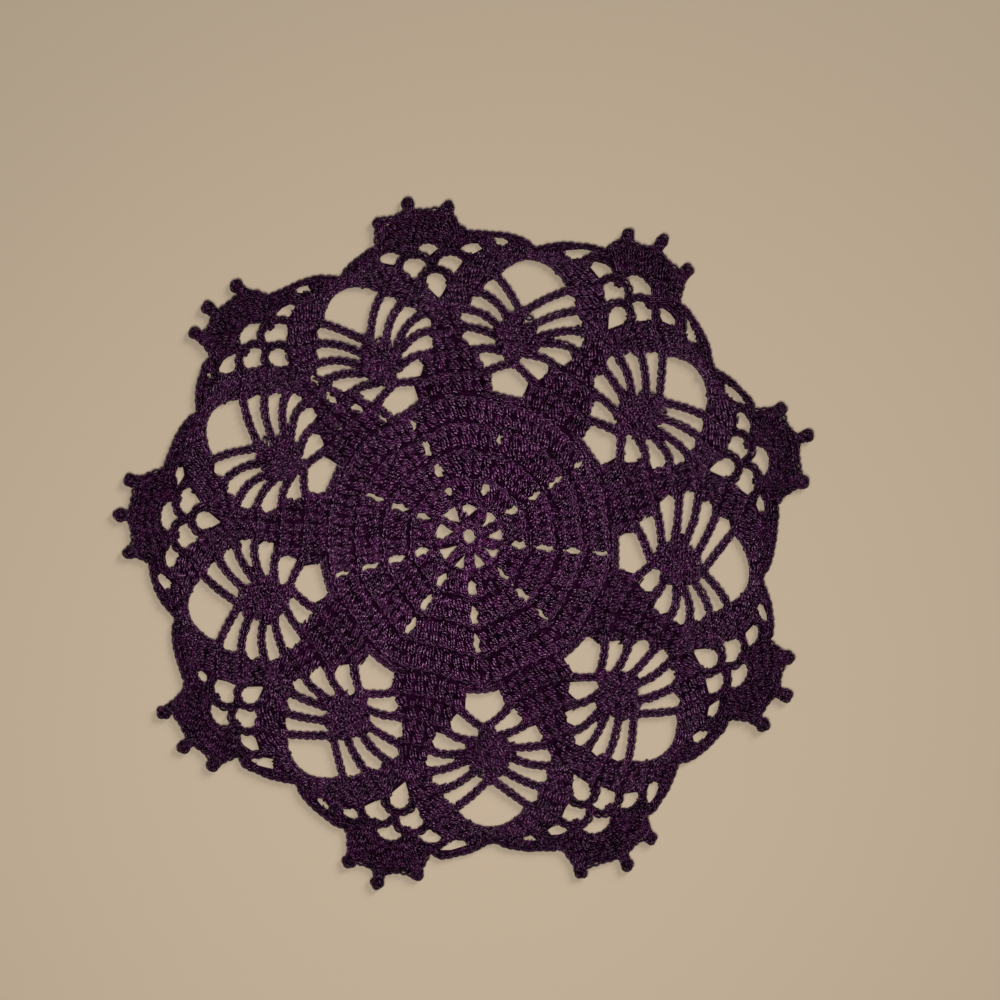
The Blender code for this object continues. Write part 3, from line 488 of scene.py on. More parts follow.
def inside(x, y, loop):
    """Which of the places x, y lie inside a closed loop."""
    hit = np.zeros(np.shape(x), bool)
    for (x0, y0), (x1, y1) in zip(loop, np.roll(loop, -1, 0)):
        if y0 != y1:
            hit ^= ((y0 > y) != (y1 > y)) & (x < x0 + (y - y0) * (x1 - x0) / (y1 - y0))
    return hit


def open_map():
    """Where the plan is open, on a fine grid: outside the edge and in every space."""
    ticks = np.arange(-PLAN_REACH, PLAN_REACH, PLAN_STEP)
    gaps = ~inside(*np.meshgrid(ticks, ticks), EDGE)
    for loop in SPACES:
        first = (np.array(loop).min(0) + PLAN_REACH) / PLAN_STEP
        last = (np.array(loop).max(0) + PLAN_REACH) / PLAN_STEP
        i, j = (slice(int(first[n]), int(last[n]) + 2) for n in (0, 1))
        gaps[j, i] |= inside(*np.meshgrid(ticks[i], ticks[j]), loop)
    return gaps


def over_gap(points):
    """Which of (..., 2) points lie outside the doily or over a space."""
    i = ((points + PLAN_REACH) / PLAN_STEP).round().astype(int)
    return OPEN_MAP[i[..., 1], i[..., 0]]


EDGE = outer_edge()
SPACES = all_spaces()
OPEN_MAP = open_map()
SHIFT = np.array([(min(p[i] for p in EDGE) + max(p[i] for p in EDGE)) / 2 for i in (0, 1)])


# -------- meshes
def new_mesh(name, verts, faces, uvs=None):
    """A smooth-shaded object from arrays: verts in mm as laid, faces a list of (n, sides) arrays."""
    verts = np.asarray(verts, float).copy()
    verts[:, :2] -= SHIFT
    mesh = bpy.data.meshes.new(name)
    mesh.vertices.add(len(verts))
    mesh.vertices.foreach_set("co", (verts * MM).astype(np.float32).ravel())
    loops = np.concatenate([f.ravel() for f in faces])
    sizes = np.concatenate([np.full(len(f), f.shape[1]) for f in faces])
    starts = np.cumsum(sizes) - sizes
    mesh.loops.add(len(loops))
    mesh.loops.foreach_set("vertex_index", loops.astype(np.int32))
    mesh.polygons.add(len(sizes))
    mesh.polygons.foreach_set("loop_start", starts.astype(np.int32))
    mesh.polygons.foreach_set("use_smooth", np.ones(len(sizes), bool))
    if uvs is not None:
        layer = mesh.uv_layers.new(name="thread")
        layer.data.foreach_set("uv", np.concatenate(uvs).astype(np.float32).ravel())
    mesh.update(calc_edges=True)
    mesh.validate()
    obj = bpy.data.objects.new(name, mesh)
    bpy.context.scene.collection.objects.link(obj)
    return obj


def unit(way):
    """Ways (..., n) brought to length 1."""
    return way / (np.linalg.norm(way, axis=-1, keepdims=True) + 1e-9)


class Threads:
    """Collects thread paths of a piece and turns them into closed tubes of one mesh."""

    def __init__(self, name, sides=5):
        self.name, self.sides, self.count, self.made = name, sides, 0, 0
        self.verts, self.quads, self.caps, self.quad_uvs, self.cap_uvs = [], [], [], [], []

    def add(self, flat, height, thick=1.0):
        """Threads along (n, m, 2) spots, in mm as laid, at (n, m) heights, their ends closed."""
        paths = np.concatenate([flat, height[..., None]], -1)
        n, m = height.shape
        sides = self.sides
        step = unit(np.gradient(paths, axis=1))
        across = unit(np.cross(np.array([0.0, 0.0, 1.0]), step))
        over = np.cross(step, across)
        size = np.full(m, thick * THREAD)
        size[0] = size[-1] = thick * THREAD * TAPER
        turn = 2 * pi * (np.arange(sides) + 0.5) / sides
        ring = (paths[:, :, None] + size[None, :, None, None] * (
            np.cos(turn)[None, None, :, None] * across[:, :, None]
            + np.sin(turn)[None, None, :, None] * over[:, :, None]))
        self.verts.append(ring.reshape(-1, 3))
        index = self.count + np.arange(n * m * sides).reshape(n, m, sides)
        a, b = index[:, :-1], index[:, 1:]
        quads = np.stack([a, np.roll(a, -1, 2), np.roll(b, -1, 2), b], -1)
        self.quads.append(quads.reshape(-1, 4))
        self.caps += [index[:, 0, ::-1], index[:, -1]]
        # UV: length along the thread in mm, and turn round it from 0 to 1
        run = lengths(paths) + TWIST_LATER * (self.made + np.arange(n))[:, None] % TWIST_AGAIN
        u0, u1 = run[:, :-1, None], run[:, 1:, None]
        v0, v1 = np.arange(sides) / sides, (np.arange(sides) + 1) / sides
        corners = np.broadcast_arrays(u0, v0, u0, v1, u1, v1, u1, v0)
        self.quad_uvs.append(np.stack(corners, -1).reshape(-1, 2))
        for end in (run[:, :1], run[:, -1:]):
            self.cap_uvs.append(np.stack(np.broadcast_arrays(end, v0), -1).reshape(-1, 2))
        self.count += n * m * sides
        self.made += n

    def make(self):
        """The object with all threads so far, none below the lowest height."""
        points = np.concatenate(self.verts)
        points[:, 2] = np.maximum(points[:, 2], LOWEST)
        return new_mesh(self.name, points, [np.concatenate(self.quads), np.concatenate(self.caps)],
                        self.quad_uvs + self.cap_uvs)


# -------- stitches
def tall_stitches(threads, base, tip, base_wide, tip_wide, fan, low=0.50, loose=0.10, over=0.2):
    """Tall stitches from base to tip, (n, 2) about bearing fan. Each is a round post whose thread
    comes up, slants over its front and dives under again. A strand is left out where more than a
    share of it, over, is over a space."""
    base, tip = np.asarray(base, float), np.asarray(tip, float)
    n = len(base)
    base = base + rng.normal(0, loose, base.shape)
    tip = tip + rng.normal(0, loose, tip.shape)
    run = tip - base
    long = np.linalg.norm(run, axis=1)
    normal = np.stack([-run[:, 1], run[:, 0]], 1) / long[:, None]
    half0 = np.broadcast_to(base_wide, n) / 2
    half1 = np.broadcast_to(tip_wide, n) / 2
    lift = rng.normal(0, STRAY["lift"], (n, 1))
    wraps = max(1, int(round(long.mean() / WRAP)))
    t = np.linspace(0, 1, 6)[None]
    for k in range(wraps):
        middle = (k + 0.5 + rng.normal(0, STRAY["middle"], (n, 1))) / wraps
        rise = rng.normal(WRAP_LONG, STRAY["long"], (n, 1)) / wraps
        swell = rng.normal(0, STRAY["swell"], (n, 1))
        slant = rng.normal(SLANT, STRAY["slant"], (n, 1))
        for strand in (-1, 0, 1):
            slip = rng.normal(0, STRAY["slip"], (n, 1)) - STRAND_BACK * strand
            s = np.clip(middle + slip / long[:, None] + rise * (t - 0.5), *WRAP_ENDS)
            half = half0[:, None] + (half1 - half0)[:, None] * s
            w = (STRAND * strand + 2 * slant * (t - 0.5) * half + rng.normal(0, STRAY["side"], (n, 1)))
            w = np.clip(w, -half + SIDE_KEPT, half - SIDE_KEPT)
            front = np.sqrt(np.clip(1 - FRONT_ROUND * (w / half) ** 2, 0, 1))
            crown = low + FRONT_RISE * front + lift + swell
            crown -= WAIST * np.cos(2 * pi * wraps * s) + END_DIP * (2 * s - 1) ** 6
            bow = rng.normal(STRAND_BOWS, STRAY["bow"], (n, 1)) - OUTER_LESS * strand ** 2
            z = np.maximum(crown - STRAND_DIVES + bow * np.sin(pi * t), STRAND_LOWEST)
            flat = base[:, None] + run[:, None] * s[..., None] + normal[:, None] * w[..., None]
            spots = lay(flat, fan)
            kept = over_gap(spots).mean(1) <= over
            if kept.any():
                threads.add(spots[kept], z[kept], rng.uniform(*STRAND_THICK))


def top_chain(threads, spots, fan, low=0.62):
    """The two loops over the head of each stitch, from one of the (n, 2) spots to the next."""
    run = np.diff(spots, axis=0)
    long = np.linalg.norm(run, axis=1, keepdims=True)
    across = np.stack([run[:, 1], -run[:, 0]], 1) / long
    t = np.linspace(-0.12, 1.12, 6)
    arch = np.sin(pi * np.clip(t, 0, 1))
    for side in (-1, 1):
        w = side * (HEAD_CLOSE + HEAD_WIDE * arch)
        z = low + HEAD_RISE * arch + (HEAD_TILT if side > 0 else 0.0)
        flat = spots[:-1, None] + run[:, None] * t[:, None] + across[:, None] * w[:, None]
        threads.add(lay(flat, fan), z + rng.normal(0, HEAD_STRAY, (len(run), 1)), HEAD_THICK)


def smooth(points, closed=False, fine=10):
    """Catmull-Rom curve through (n, 2) points."""
    p = np.asarray(points, float)
    if closed:
        p = np.concatenate([p[-1:], p, p[:2]])
    else:
        p = np.concatenate([2 * p[:1] - p[1:2], p, 2 * p[-1:] - p[-2:-1]])
    t = np.linspace(0, 1, fine, endpoint=False)[:, None]
    parts = []
    for a, b, c, d in zip(p, p[1:], p[2:], p[3:]):
        parts.append(0.5 * (2 * b + (c - a) * t + (2 * a - 5 * b + 4 * c - d) * t ** 2
                            + (3 * b - a - 3 * c + d) * t ** 3))
    parts.append(p[-2:-1])
    return np.concatenate(parts)


def lengths(paths):
    """Length along paths (..., n, 2 or 3) up to each of their points."""
    steps = np.linalg.norm(np.diff(paths, axis=-2), axis=-1)
    return np.concatenate([np.zeros_like(steps[..., :1]), np.cumsum(steps, -1)], -1)


def spots_at(path, run, d):
    """Spots at lengths d along a path whose points are at lengths run."""
    return np.stack([np.interp(d, run, path[:, 0]), np.interp(d, run, path[:, 1])], -1)


def chain(threads, path, low=0.55, link=LINK, bulge=LINK_BULGE, closed=False):
    """A crocheted chain along an (n, 2) path as laid: each link is two legs over a back strand."""
    run = lengths(path)
    count = max(2, int(round(run[-1] / link)))
    pitch = run[-1] / count

    def spots_and_normals(d):
        """Spots at lengths d along the chain, and the ways square to it there."""
        near = 0.25 * pitch
        d = d % run[-1] if closed else np.clip(d, 0.0, run[-1])
        if closed:
            d0, d1 = (d - near) % run[-1], (d + near) % run[-1]
        else:
            d0, d1 = np.maximum(d - near, 0), np.minimum(d + near, run[-1])
        way = unit(spots_at(path, run, d1) - spots_at(path, run, d0))
        return spots_at(path, run, d), np.stack([-way[..., 1], way[..., 0]], -1)

    start = np.arange(count)[:, None] * pitch
    t = np.linspace(0, 1, 8)[None]
    size = 1 + rng.normal(0, LINK_STRAY, (count, 1))
    lift = rng.normal(0, LIFT_STRAY, (count, 1))
    for side in (-1, 1):
        spot, normal = spots_and_normals(start - LEG_EARLY * pitch + LEG_LONG * pitch * t)
        w = side * (LEG_CLOSE + bulge * size * np.sin(pi * t ** LEG_SKEW) ** LEG_FULL)
        z = low + lift + LEG_LOW - LEG_FALL * t
        z = z + LEG_RISE * np.sin(pi * np.clip(t * LEG_TOP_EARLY, 0, 1))
        threads.add(spot + normal * w[..., None], z)
    spot, _ = spots_and_normals(start + pitch * np.linspace(-0.1, 1.1, 5)[None])
    z = low + lift - UNDER_DOWN + UNDER_RISE * np.sin(np.linspace(0, pi, 5))[None]
    threads.add(spot, z, UNDER_THICK)


def spread(start, end, count):
    """Centres of count even parts between two (out, side) points, and the parts' width."""
    start, end = np.asarray(start, float), np.asarray(end, float)
    f = (np.arange(count) + 0.5)[:, None] / count
    return start + (end - start) * f, float(np.linalg.norm(end - start)) / count


# -------- pieces
def first_round(threads):
    """Three stitches between each two triangles, the chain on them and the chain of the ring."""
    rows = TRIANGLES + TRIANGLES[:1]
    for n, (one, other) in enumerate(zip(rows, rows[1:])):
        later = 360.0 if n == REPEATS - 1 else 0.0
        wide = radians(other[5] + later - one[3]) * FIRST_WIDTH_AT / 3
        for f in (1 / 6, 1 / 2, 5 / 6):
            foot = one[1] + (other[1] + later - one[1]) * f
            head = one[3] + (other[5] + later - one[3]) * (0.5 + FIRST_FAN * (f - 0.5))
            tall_stitches(threads, [polar(ring_radius(foot) + FIRST_FOOT, foot)],
                          [polar(FIRST_HEAD, head)], 1.0, wide + 0.3, 0.0, over=0.1)
    ring = [polar(FIRST_CHAIN, bearing) for bearing in np.arange(0.0, 360.0, 7.5)]
    chain(threads, smooth(ring, True, 4), low=0.25, closed=True, bulge=0.6)
    ring = [polar(ring_radius(bearing) + RING_CHAIN, bearing) for bearing in range(0, 360, 15)]
    chain(threads, smooth(ring, True, 4), low=0.62, link=1.6, closed=True, bulge=0.5)


def middle_rounds():
    """The first round, and the full rounds with a short chain over each line space."""
    threads = Threads("middle")
    first_round(threads)
    for i, (near, far, count) in enumerate(ROUNDS):
        f = (np.arange(count) + 0.5) / count
        for k in range(REPEATS):
            after = (k + 1) % REPEATS
            gaps = [LINE_KEPT + LINE_SPACES[j][3 * i + 2] / 2 for j in (k, after)]

            def row(radius, f, share=1.0):
                """Spots from line space to line space, and a stitch's width between them."""
                low = STEP * k + line_turn(k, radius) + degrees(share * gaps[0] / radius)
                high = STEP * (k + 1) + line_turn(after, radius) - degrees(share * gaps[1] / radius)
                return polar(radius, low + (high - low) * f), radians((high - low) / count) * radius

            base, base_wide = row(near + ROUND_FOOT, f, 0.85)
            tip, tip_wide = row(far - HEAD_IN, f)
            tall_stitches(threads, base, tip, base_wide, tip_wide, 0.0)
            top_chain(threads, row(far - TOP_CHAIN_IN, np.linspace(0, 1, count + 1))[0], 0.0)
            turns = np.degrees(np.array([-ACROSS, 0.0, ACROSS]) / far)
            across = polar(far - HEAD_IN, STEP * (k + 1) + line_turn(after, far) + turns)
            chain(threads, lay(smooth(across), 0.0), low=0.45, bulge=0.45)
    return threads.make()


def wedge(threads, k):
    """A wedge between two ovals and the blocks that part round its lattice."""
    fan = STEP * (k + 0.5)
    for near, far, half, count in WEDGES:
        base, wide = spread((near + WEDGE_FOOT, half), (near + WEDGE_FOOT, -half), count)
        tip, _ = spread((far - HEAD_IN, half), (far - HEAD_IN, -half), count)
        tall_stitches(threads, base, tip, wide, wide, fan)
        edge = np.linspace(half, -half, count + 1)
        spots = np.stack([np.full(count + 1, far - TOP_CHAIN_IN), edge], -1)
        top_chain(threads, spots, fan)
    foot, head, foot_wide, head_wide = KEYSTONE
    tall_stitches(threads, [foot], [head], foot_wide, head_wide, fan)
    for side in (1, -1):
        turn = np.array([1.0, side])
        for a, b, c, d, count in BLOCKS:
            a, b, c, d = (np.array(p) * turn for p in (a, b, c, d))
            base, base_wide = spread(a, b, count)
            tip, tip_wide = spread(c, d, count)
            run = unit(tip - base)
            tall_stitches(threads, base + BLOCK_FOOT * run, tip - BLOCK_HEAD * run, base_wide,
                          tip_wide, fan, over=0.0)
            f = np.linspace(0, 1, count + 1)[:, None]
            spots = c - run.mean(0) * BLOCK_CHAIN + (d - c) * f
            top_chain(threads, spots, fan)


def spider(threads, k):
    """Chain bars of an oval, the chains round its inner and outer space, and its cluster."""
    base = STEP * k
    for row in BARS:
        hub, mid, rim = (np.array(p) for p in row)
        hub = hub + unit(hub - mid) * INTO_CLUSTER
        rim = rim + unit(rim - mid) * INTO_RIM
        chain(threads, lay(smooth([rim, mid, hub]), base))
    chain(threads, lay(smooth(SILL), base), bulge=0.55)
    edge = np.array(OUTER_SPACE[2:11])
    edge += unit(edge - OUTER_MIDDLE) * OUTER_CHAIN
    chain(threads, lay(smooth(edge), base), low=0.5, bulge=0.32)
    for radius, half, count in CLUSTER_ROWS:
        foot, wide = spread((radius - ROW_HALF, half), (radius - ROW_HALF, -half), count)
        head, _ = spread((radius + ROW_HALF, half), (radius + ROW_HALF, -half), count)
        dome = DOME_RISE * max(0.0, 1 - ((radius - CLUSTER_AT + DOME_IN) / DOME_HALF) ** 2)
        tall_stitches(threads, foot, head, wide, wide, base, CLUSTER_LOW + dome, CLUSTER_LOOSE)
        edge = np.linspace(half, -half, count + 1)
        spots = np.stack([np.full(count + 1, radius + ROW_CHAIN), edge], -1)
        spots = spots + rng.normal(0, CLUSTER_CHAIN_LOOSE, spots.shape)
        top_chain(threads, spots, base, CLUSTER_CHAIN_LOW + dome)


def edging(threads, k, fan):
    """Edging chain on both sides of a shell, and short stitches from the blocks out to it."""
    row = PICOTS[k]
    out, back = EDGING_SHIFTS[k]
    next_out = EDGING_SHIFTS[(k + 1) % REPEATS][0]
    before = [polar(r + out - EDGING_IN, b - STEP / 2) for b, r in EDGE_BEFORE_SHELL]
    before += [polar(SHELL_FLANKS[k][0] - EDGING_IN_FLANK, row[0] + FLANK_TURNS[0])]
    after = [polar(SHELL_FLANKS[k][4] - EDGING_IN_FLANK, row[4] + EDGING_TURN)]
    after += [polar(r + back - EDGING_IN, b - STEP / 2) for b, r in EDGE_AFTER_SHELL]
    after += [polar(EDGE_BEFORE_SHELL[0][1] + next_out - EDGING_IN, STEP / 2)]
    chain(threads, lay(smooth(before, fine=6), fan), bulge=EDGING_BULGE)
    chain(threads, lay(smooth(after, fine=6), fan), bulge=EDGING_BULGE)
    for way in (before[:-1], after[1:]):
        line = smooth(way, fine=6)
        run = lengths(line)
        spot = spots_at(line, run, np.arange(SHORT_FROM, run[-1], SHORT_PITCH))
        foot, head = (spot - inward * unit(spot) for inward in (SHORT_FOOT, SHORT_HEAD))
        tall_stitches(threads, foot, head, SHORT_WIDE, SHORT_WIDE, fan, SHORT_LOW, over=0.0)


def shell(threads, k, fan):
    """A shell's fan of tall stitches and the chain round it."""
    row, flanks = PICOTS[k], SHELL_FLANKS[k]
    f = (np.arange(SHELL_STITCHES) + 0.5) / SHELL_STITCHES
    knots = np.linspace(0, 1, len(SHELL_BASE))
    base = polar(*(np.interp(f, knots, column) for column in zip(*SHELL_BASE)))
    sides = (flanks[1] - HEADS_IN_FLANK, 90.0, 90.0, flanks[3] - HEADS_IN_FLANK)
    reach = np.minimum(SHELL_HEADS + SHELL_BULGE * np.sin(pi * f) ** SHELL_FLAT,
                       np.interp(f, (0, 0.1, 0.9, 1), sides))
    first, last = row[0] - HEADS_PAST[0], row[4] + HEADS_PAST[1]
    tall_stitches(threads, base, polar(reach, first + (last - first) * f), *SHELL_WIDTHS, fan)
    flank = [polar(r - RIM_IN_FLANK, row[n] + turn * RIM_TURN)
             for r, turn, n in zip(flanks, FLANK_TURNS, (0, 0, 0, 4, 4))]
    tops = [polar(r, b + turn) for r, b, turn in zip(RIM_AT_PICOTS, row[0::2], RIM_TURNS)]
    dips = [polar(SHELL_TOP[n] - RIM_IN_TOP, (row[2 * n] + row[2 * n + 2]) / 2) for n in (0, 1)]
    rim = flank[:3] + [tops[0], dips[0], tops[1], dips[1], tops[2]] + flank[3:]
    chain(threads, lay(smooth(rim, fine=6), fan), low=0.7)


def picots(threads, k, fan):
    """The three picots of a shell: each a loop of chain on a neck of three short chains."""
    for bearing, tip_radius in zip(PICOTS[k][0::2], PICOTS[k][1::2]):
        spot, out = polar(tip_radius - PICOT_RADIUS, bearing), polar(1.0, bearing)
        side = np.array([-out[1], out[0]])
        turn = 2 * pi * np.arange(10) / 10 + rng.uniform(0, 2)
        loop = spot + LOOP_RADIUS * (np.cos(turn)[:, None] * out + np.sin(turn)[:, None] * side)
        loop = loop + rng.normal(0, LOOP_UNEVEN, loop.shape)
        chain(threads, lay(smooth(loop, True, 5), fan), low=0.75, link=1.7, bulge=0.5, closed=True)
        for w in (-NECK_HALF, 0.0, NECK_HALF):
            neck = [spot - inward * out + wide * w * side for inward, wide in NECK]
            chain(threads, lay(smooth(neck), fan), low=0.7, link=1.6, bulge=0.42)


def shell_and_lattice(threads, k):
    """Lattice of chain arches, edging, shell and picots, outside a wedge."""
    fan = STEP * (k + 0.5)
    # an arch is as large as the space that it goes round
    for points, space, size in zip(ARCHES, LATTICE_SPACES, LATTICE_SIZES[k]):
        spot = polar(*space[:2])
        chain(threads, lay(smooth(spot + (np.array(points) - spot) * size), fan))
    edging(threads, k, fan)
    shell(threads, k, fan)
    picots(threads, k, fan)


def in_repeats(name, work, repeats):
    """A piece with the same work in several repeats."""
    threads = Threads(name)
    for k in repeats:
        work(threads, k)
    return threads.make()


def backs():
    """Strands on the wrong side that show between the stitches, at random over the doily."""
    threads = Threads("backs", 4)
    spot = rng.uniform(-BACKS_REACH, BACKS_REACH, (BACKS, 2))
    way = rng.uniform(0, pi, BACKS)
    t = np.linspace(-1, 1, 4)
    bend = rng.normal(0, BACK_BEND, (BACKS, 1)) * (1 - t * t)
    along = np.stack([np.cos(way), np.sin(way)], -1)[:, None]
    side = np.stack([-np.sin(way), np.cos(way)], -1)[:, None]
    flat = spot[:, None] + BACK_HALF * t[None, :, None] * along + bend[..., None] * side
    flat = flat[~over_gap(flat).any(1)]
    z = BACK_LOW + rng.uniform(0.0, BACK_HIGHER, (len(flat), 1)) + BACK_BOWS * (1 - t * t)
    threads.add(flat, z, BACK_THICK)
    return threads.make()


def inset_loop(loop, by):
    """Closed loop moved inwards, or outwards where by is negative."""
    p = np.array(loop)
    area = (p[:, 0] * np.roll(p[:, 1], -1) - np.roll(p[:, 0], -1) * p[:, 1]).sum()
    forth, back = np.roll(p, -1, 0) - p, p - np.roll(p, 1, 0)
    way = unit(unit(forth) + unit(back))
    left = np.stack([-way[:, 1], way[:, 0]], 1)
    cut = np.clip((way * unit(forth)).sum(1, keepdims=True), 0.6, 1.0)
    return p + left * (by if area > 0 else -by) / cut


def painted_shade_sheet():
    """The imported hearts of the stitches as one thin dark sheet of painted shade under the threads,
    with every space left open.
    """
    loops = [inset_loop(EDGE, FELT_INSET)] + [inset_loop(space, -FELT_INSET) for space in SPACES]
    points, edges = [], []
    for loop in loops:
        first = len(points)
        points += [Vector(p) for p in loop]
        edges += [(first + i, first + (i + 1) % len(loop)) for i in range(len(loop))]
    cut = delaunay_2d_cdt(points, edges, [], 0, 1e-5, True)
    spots = np.array([tuple(p) for p in cut[0]])
    faces = np.array([f for f in cut[2] if len(f) == 3])
    mid = spots[faces].mean(1)
    keep = inside(mid[:, 0], mid[:, 1], loops[0])
    for loop in loops[1:]:
        keep &= ~inside(mid[:, 0], mid[:, 1], loop)
    faces = faces[keep]
    used = dict.fromkeys((tri[i], tri[j]) for tri in faces for i, j in ((0, 1), (1, 2), (2, 0)))
    rim = [(i, j) for i, j in used if (j, i) not in used]
    n = len(spots)
    high = np.column_stack([spots, np.full(n, FELT_HIGH)])
    low = np.column_stack([spots, np.full(n, FELT_LOW)])
    walls = np.array([(i, i + n, j + n, j) for i, j in rim])
    return new_mesh("felt", np.concatenate([high, low]), [faces, faces[:, ::-1] + n, walls])


# -------- materials
def feed(tree, node, inputs):
    """Give each input of a node its value, or link it from another node's output."""
    for name, source in inputs.items():
        if isinstance(source, bpy.types.NodeSocket):
            tree.links.new(source, node.inputs[name])
        else:
            node.inputs[name].default_value = source


def add_node(tree, kind, inputs, output=0, **settings):
    """Add a node with its settings and inputs, and return one of its outputs."""
    node = tree.nodes.new("ShaderNode" + kind)
    for name, value in settings.items():
        setattr(node, name, value)
    feed(tree, node, inputs)
    return node.outputs[output]


def new_material(name):
    """A material, its node tree and its surface."""
    material = bpy.data.materials.new(name)
    material.use_nodes = True
    return material, material.node_tree, material.node_tree.nodes["Principled BSDF"]


def dyed(tree, colours, rough):
    """Uneven dye: the place in the object, its colour and the roughness that goes with it."""
    place_at = add_node(tree, "TexCoord", {}, "Object")
    dye = add_node(tree, "TexNoise", {"Vector": place_at, "Scale": 400.0, "Detail": 3.0}, "Fac")
    colour = add_node(tree, "ValToRGB", {"Fac": dye}, "Color")
    for stop, position, tone in zip(colour.node.color_ramp.elements, (0.36, 0.66), colours):
        stop.position = position
        stop.color = (*tone, 1)
    rough = add_node(tree, "MapRange", {"Value": dye, "To Min": rough[0], "To Max": rough[1]},
                     "Result")
    return place_at, colour, rough


def relief(tree, height):
    """Bump of the thread's own depth."""
    return add_node(tree, "Bump", {"Strength": 0.9, "Distance": 0.14 * MM, "Height": height}, "Normal")


def thread_cotton(name, gloss_index):
    """Dyed cotton thread: plied twist as bump, with painted shade in the valleys between its plies and
    low in the lace, and painted light brighter in the middle.
    """
    material, tree, surface = new_material(name)
    place_at, colour, rough = dyed(tree, THREAD_DYE, THREAD_ROUGH)
    thread = add_node(tree, "UVMap", {}, "UV", uv_map="thread")
    length = add_node(tree, "SeparateXYZ", {"Vector": thread}, "X")
    along = add_node(tree, "Math", {0: length, 1: 2 * pi / TWIST_LENGTH}, operation="MULTIPLY")
    around = add_node(tree, "Math", {0: length.node.outputs["Y"], 1: 2 * pi * 2, 2: along},
                      operation="MULTIPLY_ADD")
    ply = add_node(tree, "Math", {0: around}, operation="SINE")
    # painted shade: the colour is made darker in the valleys between the two plies
    painted_ply_shade = add_node(tree, "MapRange", {"Value": ply, "From Min": -1.0, "From Max": 0.6,
                                         "To Min": 0.12, "To Max": 1.0}, "Result")
    height = add_node(tree, "SeparateXYZ", {"Vector": place_at}, "Z")
    # painted shade: the colour is made darker the lower the thread lies in the lace
    painted_low_shade = add_node(tree, "MapRange", {"Value": height, "From Min": 0.35 * MM, "From Max": 1.3 * MM,
                                       "To Min": 0.22, "To Max": 1.0}, "Result")
    # both painted shades together
    painted_shade = add_node(tree, "Math", {0: painted_ply_shade, 1: painted_low_shade}, operation="MULTIPLY")
    # painted light: the colour is made brighter in the middle and darker towards the rim; the middle
    # is also shinier, with a lower roughness
    reach = add_node(tree, "VectorMath", {0: place_at}, "Value", operation="LENGTH")
    rim = add_node(tree, "MapRange", {"Value": reach, "From Max": 90.0 * MM, "To Min": 1.5,
                                      "To Max": 0.55}, "Result")
    # painted shade and painted light together, as one scale for the dye
    painted_light_and_shade = add_node(tree, "Math", {0: painted_shade, 1: rim}, operation="MULTIPLY")
    shade = add_node(tree, "VectorMath", {0: colour, "Scale": painted_light_and_shade}, "Vector", operation="SCALE")
    rough = add_node(tree, "Math", {0: rim, 1: -0.08, 2: rough}, operation="MULTIPLY_ADD")
    feed(tree, surface, {"Base Color": shade, "Roughness": rough, "Normal": relief(tree, ply),
                         "IOR": gloss_index, "Specular IOR Level": 1.0, "Specular Tint": GLOSS_TINT})
    return material


def painted_shade_cotton():
    """Painted shade under the threads: the same cotton, darker, dull and fuzzy."""
    material, tree, surface = new_material("cotton_heart")
    place_at, colour, rough = dyed(tree, HEART_PAINTED_SHADE_DYE, HEART_ROUGH)
    fuzz = add_node(tree, "TexNoise", {"Vector": place_at, "Scale": 1500.0}, "Fac")
    feed(tree, surface, {"Base Color": colour, "Roughness": rough, "Specular IOR Level": 0.1,
                         "Normal": relief(tree, fuzz)})
    return material


def table_top():
    """Plain pale sheet under the doily."""
    material, tree, surface = new_material("table")
    feed(tree, surface, {"Base Color": TABLE_COLOUR, "Roughness": 0.85, "Specular IOR Level": 0.2})
    return material


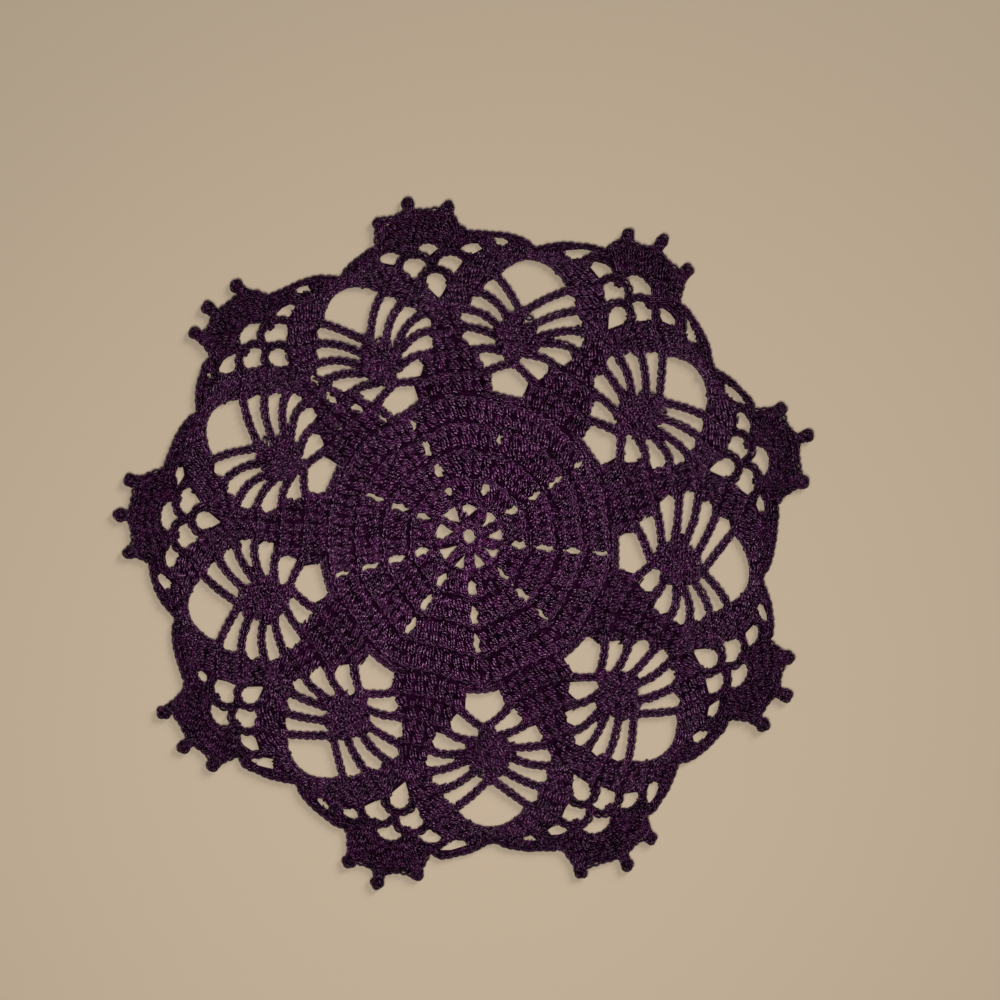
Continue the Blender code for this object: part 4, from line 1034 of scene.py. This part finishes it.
# -------- make
camera_data = bpy.data.cameras.new("camera")
camera = bpy.data.objects.new("camera", camera_data)
bpy.context.scene.collection.objects.link(camera)
bpy.context.scene.camera = camera
pixel = SEEN / PICTURE
camera.location = ((-SHIFT[0] + (PICTURE / 2 - RING_AT[0]) * pixel) * MM,
                   (-SHIFT[1] + (RING_AT[1] - PICTURE / 2) * pixel) * MM, CAMERA_HIGH * MM)
camera_data.sensor_width = SENSOR
camera_data.lens = SENSOR * CAMERA_HIGH / SEEN
camera_data.clip_start, camera_data.clip_end = 0.05, 20.0

# one copy of the thread material for each part, with its gloss stronger in the middle: painted light
cottons = {part: thread_cotton("cotton_" + part, index) for part, index in LIT_TO_SHADED_GLOSS_INDEX.items()}
# dark sheet of painted shade under the threads
felt = painted_shade_sheet()
felt.data.materials.append(painted_shade_cotton())
stitches = [middle_rounds()]
for name, work in (("wedges", wedge), ("spiders", spider), ("shells", shell_and_lattice)):
    for half, repeats in (("_a", range(0, 5)), ("_b", range(5, REPEATS))):
        stitches.append(in_repeats(name + half, work, repeats))
stitches.append(backs())
# the middle rounds get the strongest gloss and the shells the weakest: painted light
for piece in stitches:
    part = {"middle": "middle", "shells": "rim"}.get(piece.name.split("_")[0], "thread")
    piece.data.materials.append(cottons[part])
for piece in [felt] + stitches:
    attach(piece, "root")
    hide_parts("doily")

table_mesh = bpy.data.meshes.new("table")
table_mesh.from_pydata([(x * TABLE_HALF, y * TABLE_HALF, 0)
                        for x, y in ((-1, -1), (1, -1), (1, 1), (-1, 1))], [], [(0, 1, 2, 3)])
table = bpy.data.objects.new("table", table_mesh)
bpy.context.scene.collection.objects.link(table)
table_mesh.materials.append(table_top())

for name, (spot, size, power, colour) in LIGHTS.items():
    light = bpy.data.lights.new(name, "AREA")
    light.size, light.energy, light.color = size, power, colour
    lamp = bpy.data.objects.new(name, light)
    lamp.location = spot
    lamp.rotation_euler = (-Vector(spot)).to_track_quat("-Z", "Y").to_euler()
    bpy.context.scene.collection.objects.link(lamp)
world = bpy.data.worlds.new("room")
bpy.context.scene.world = world
world.use_nodes = True
world.node_tree.nodes["Background"].inputs["Color"].default_value = ROOM_COLOUR
world.node_tree.nodes["Background"].inputs["Strength"].default_value = ROOM_LIGHT
bpy.context.scene.view_settings.view_transform = "Standard"
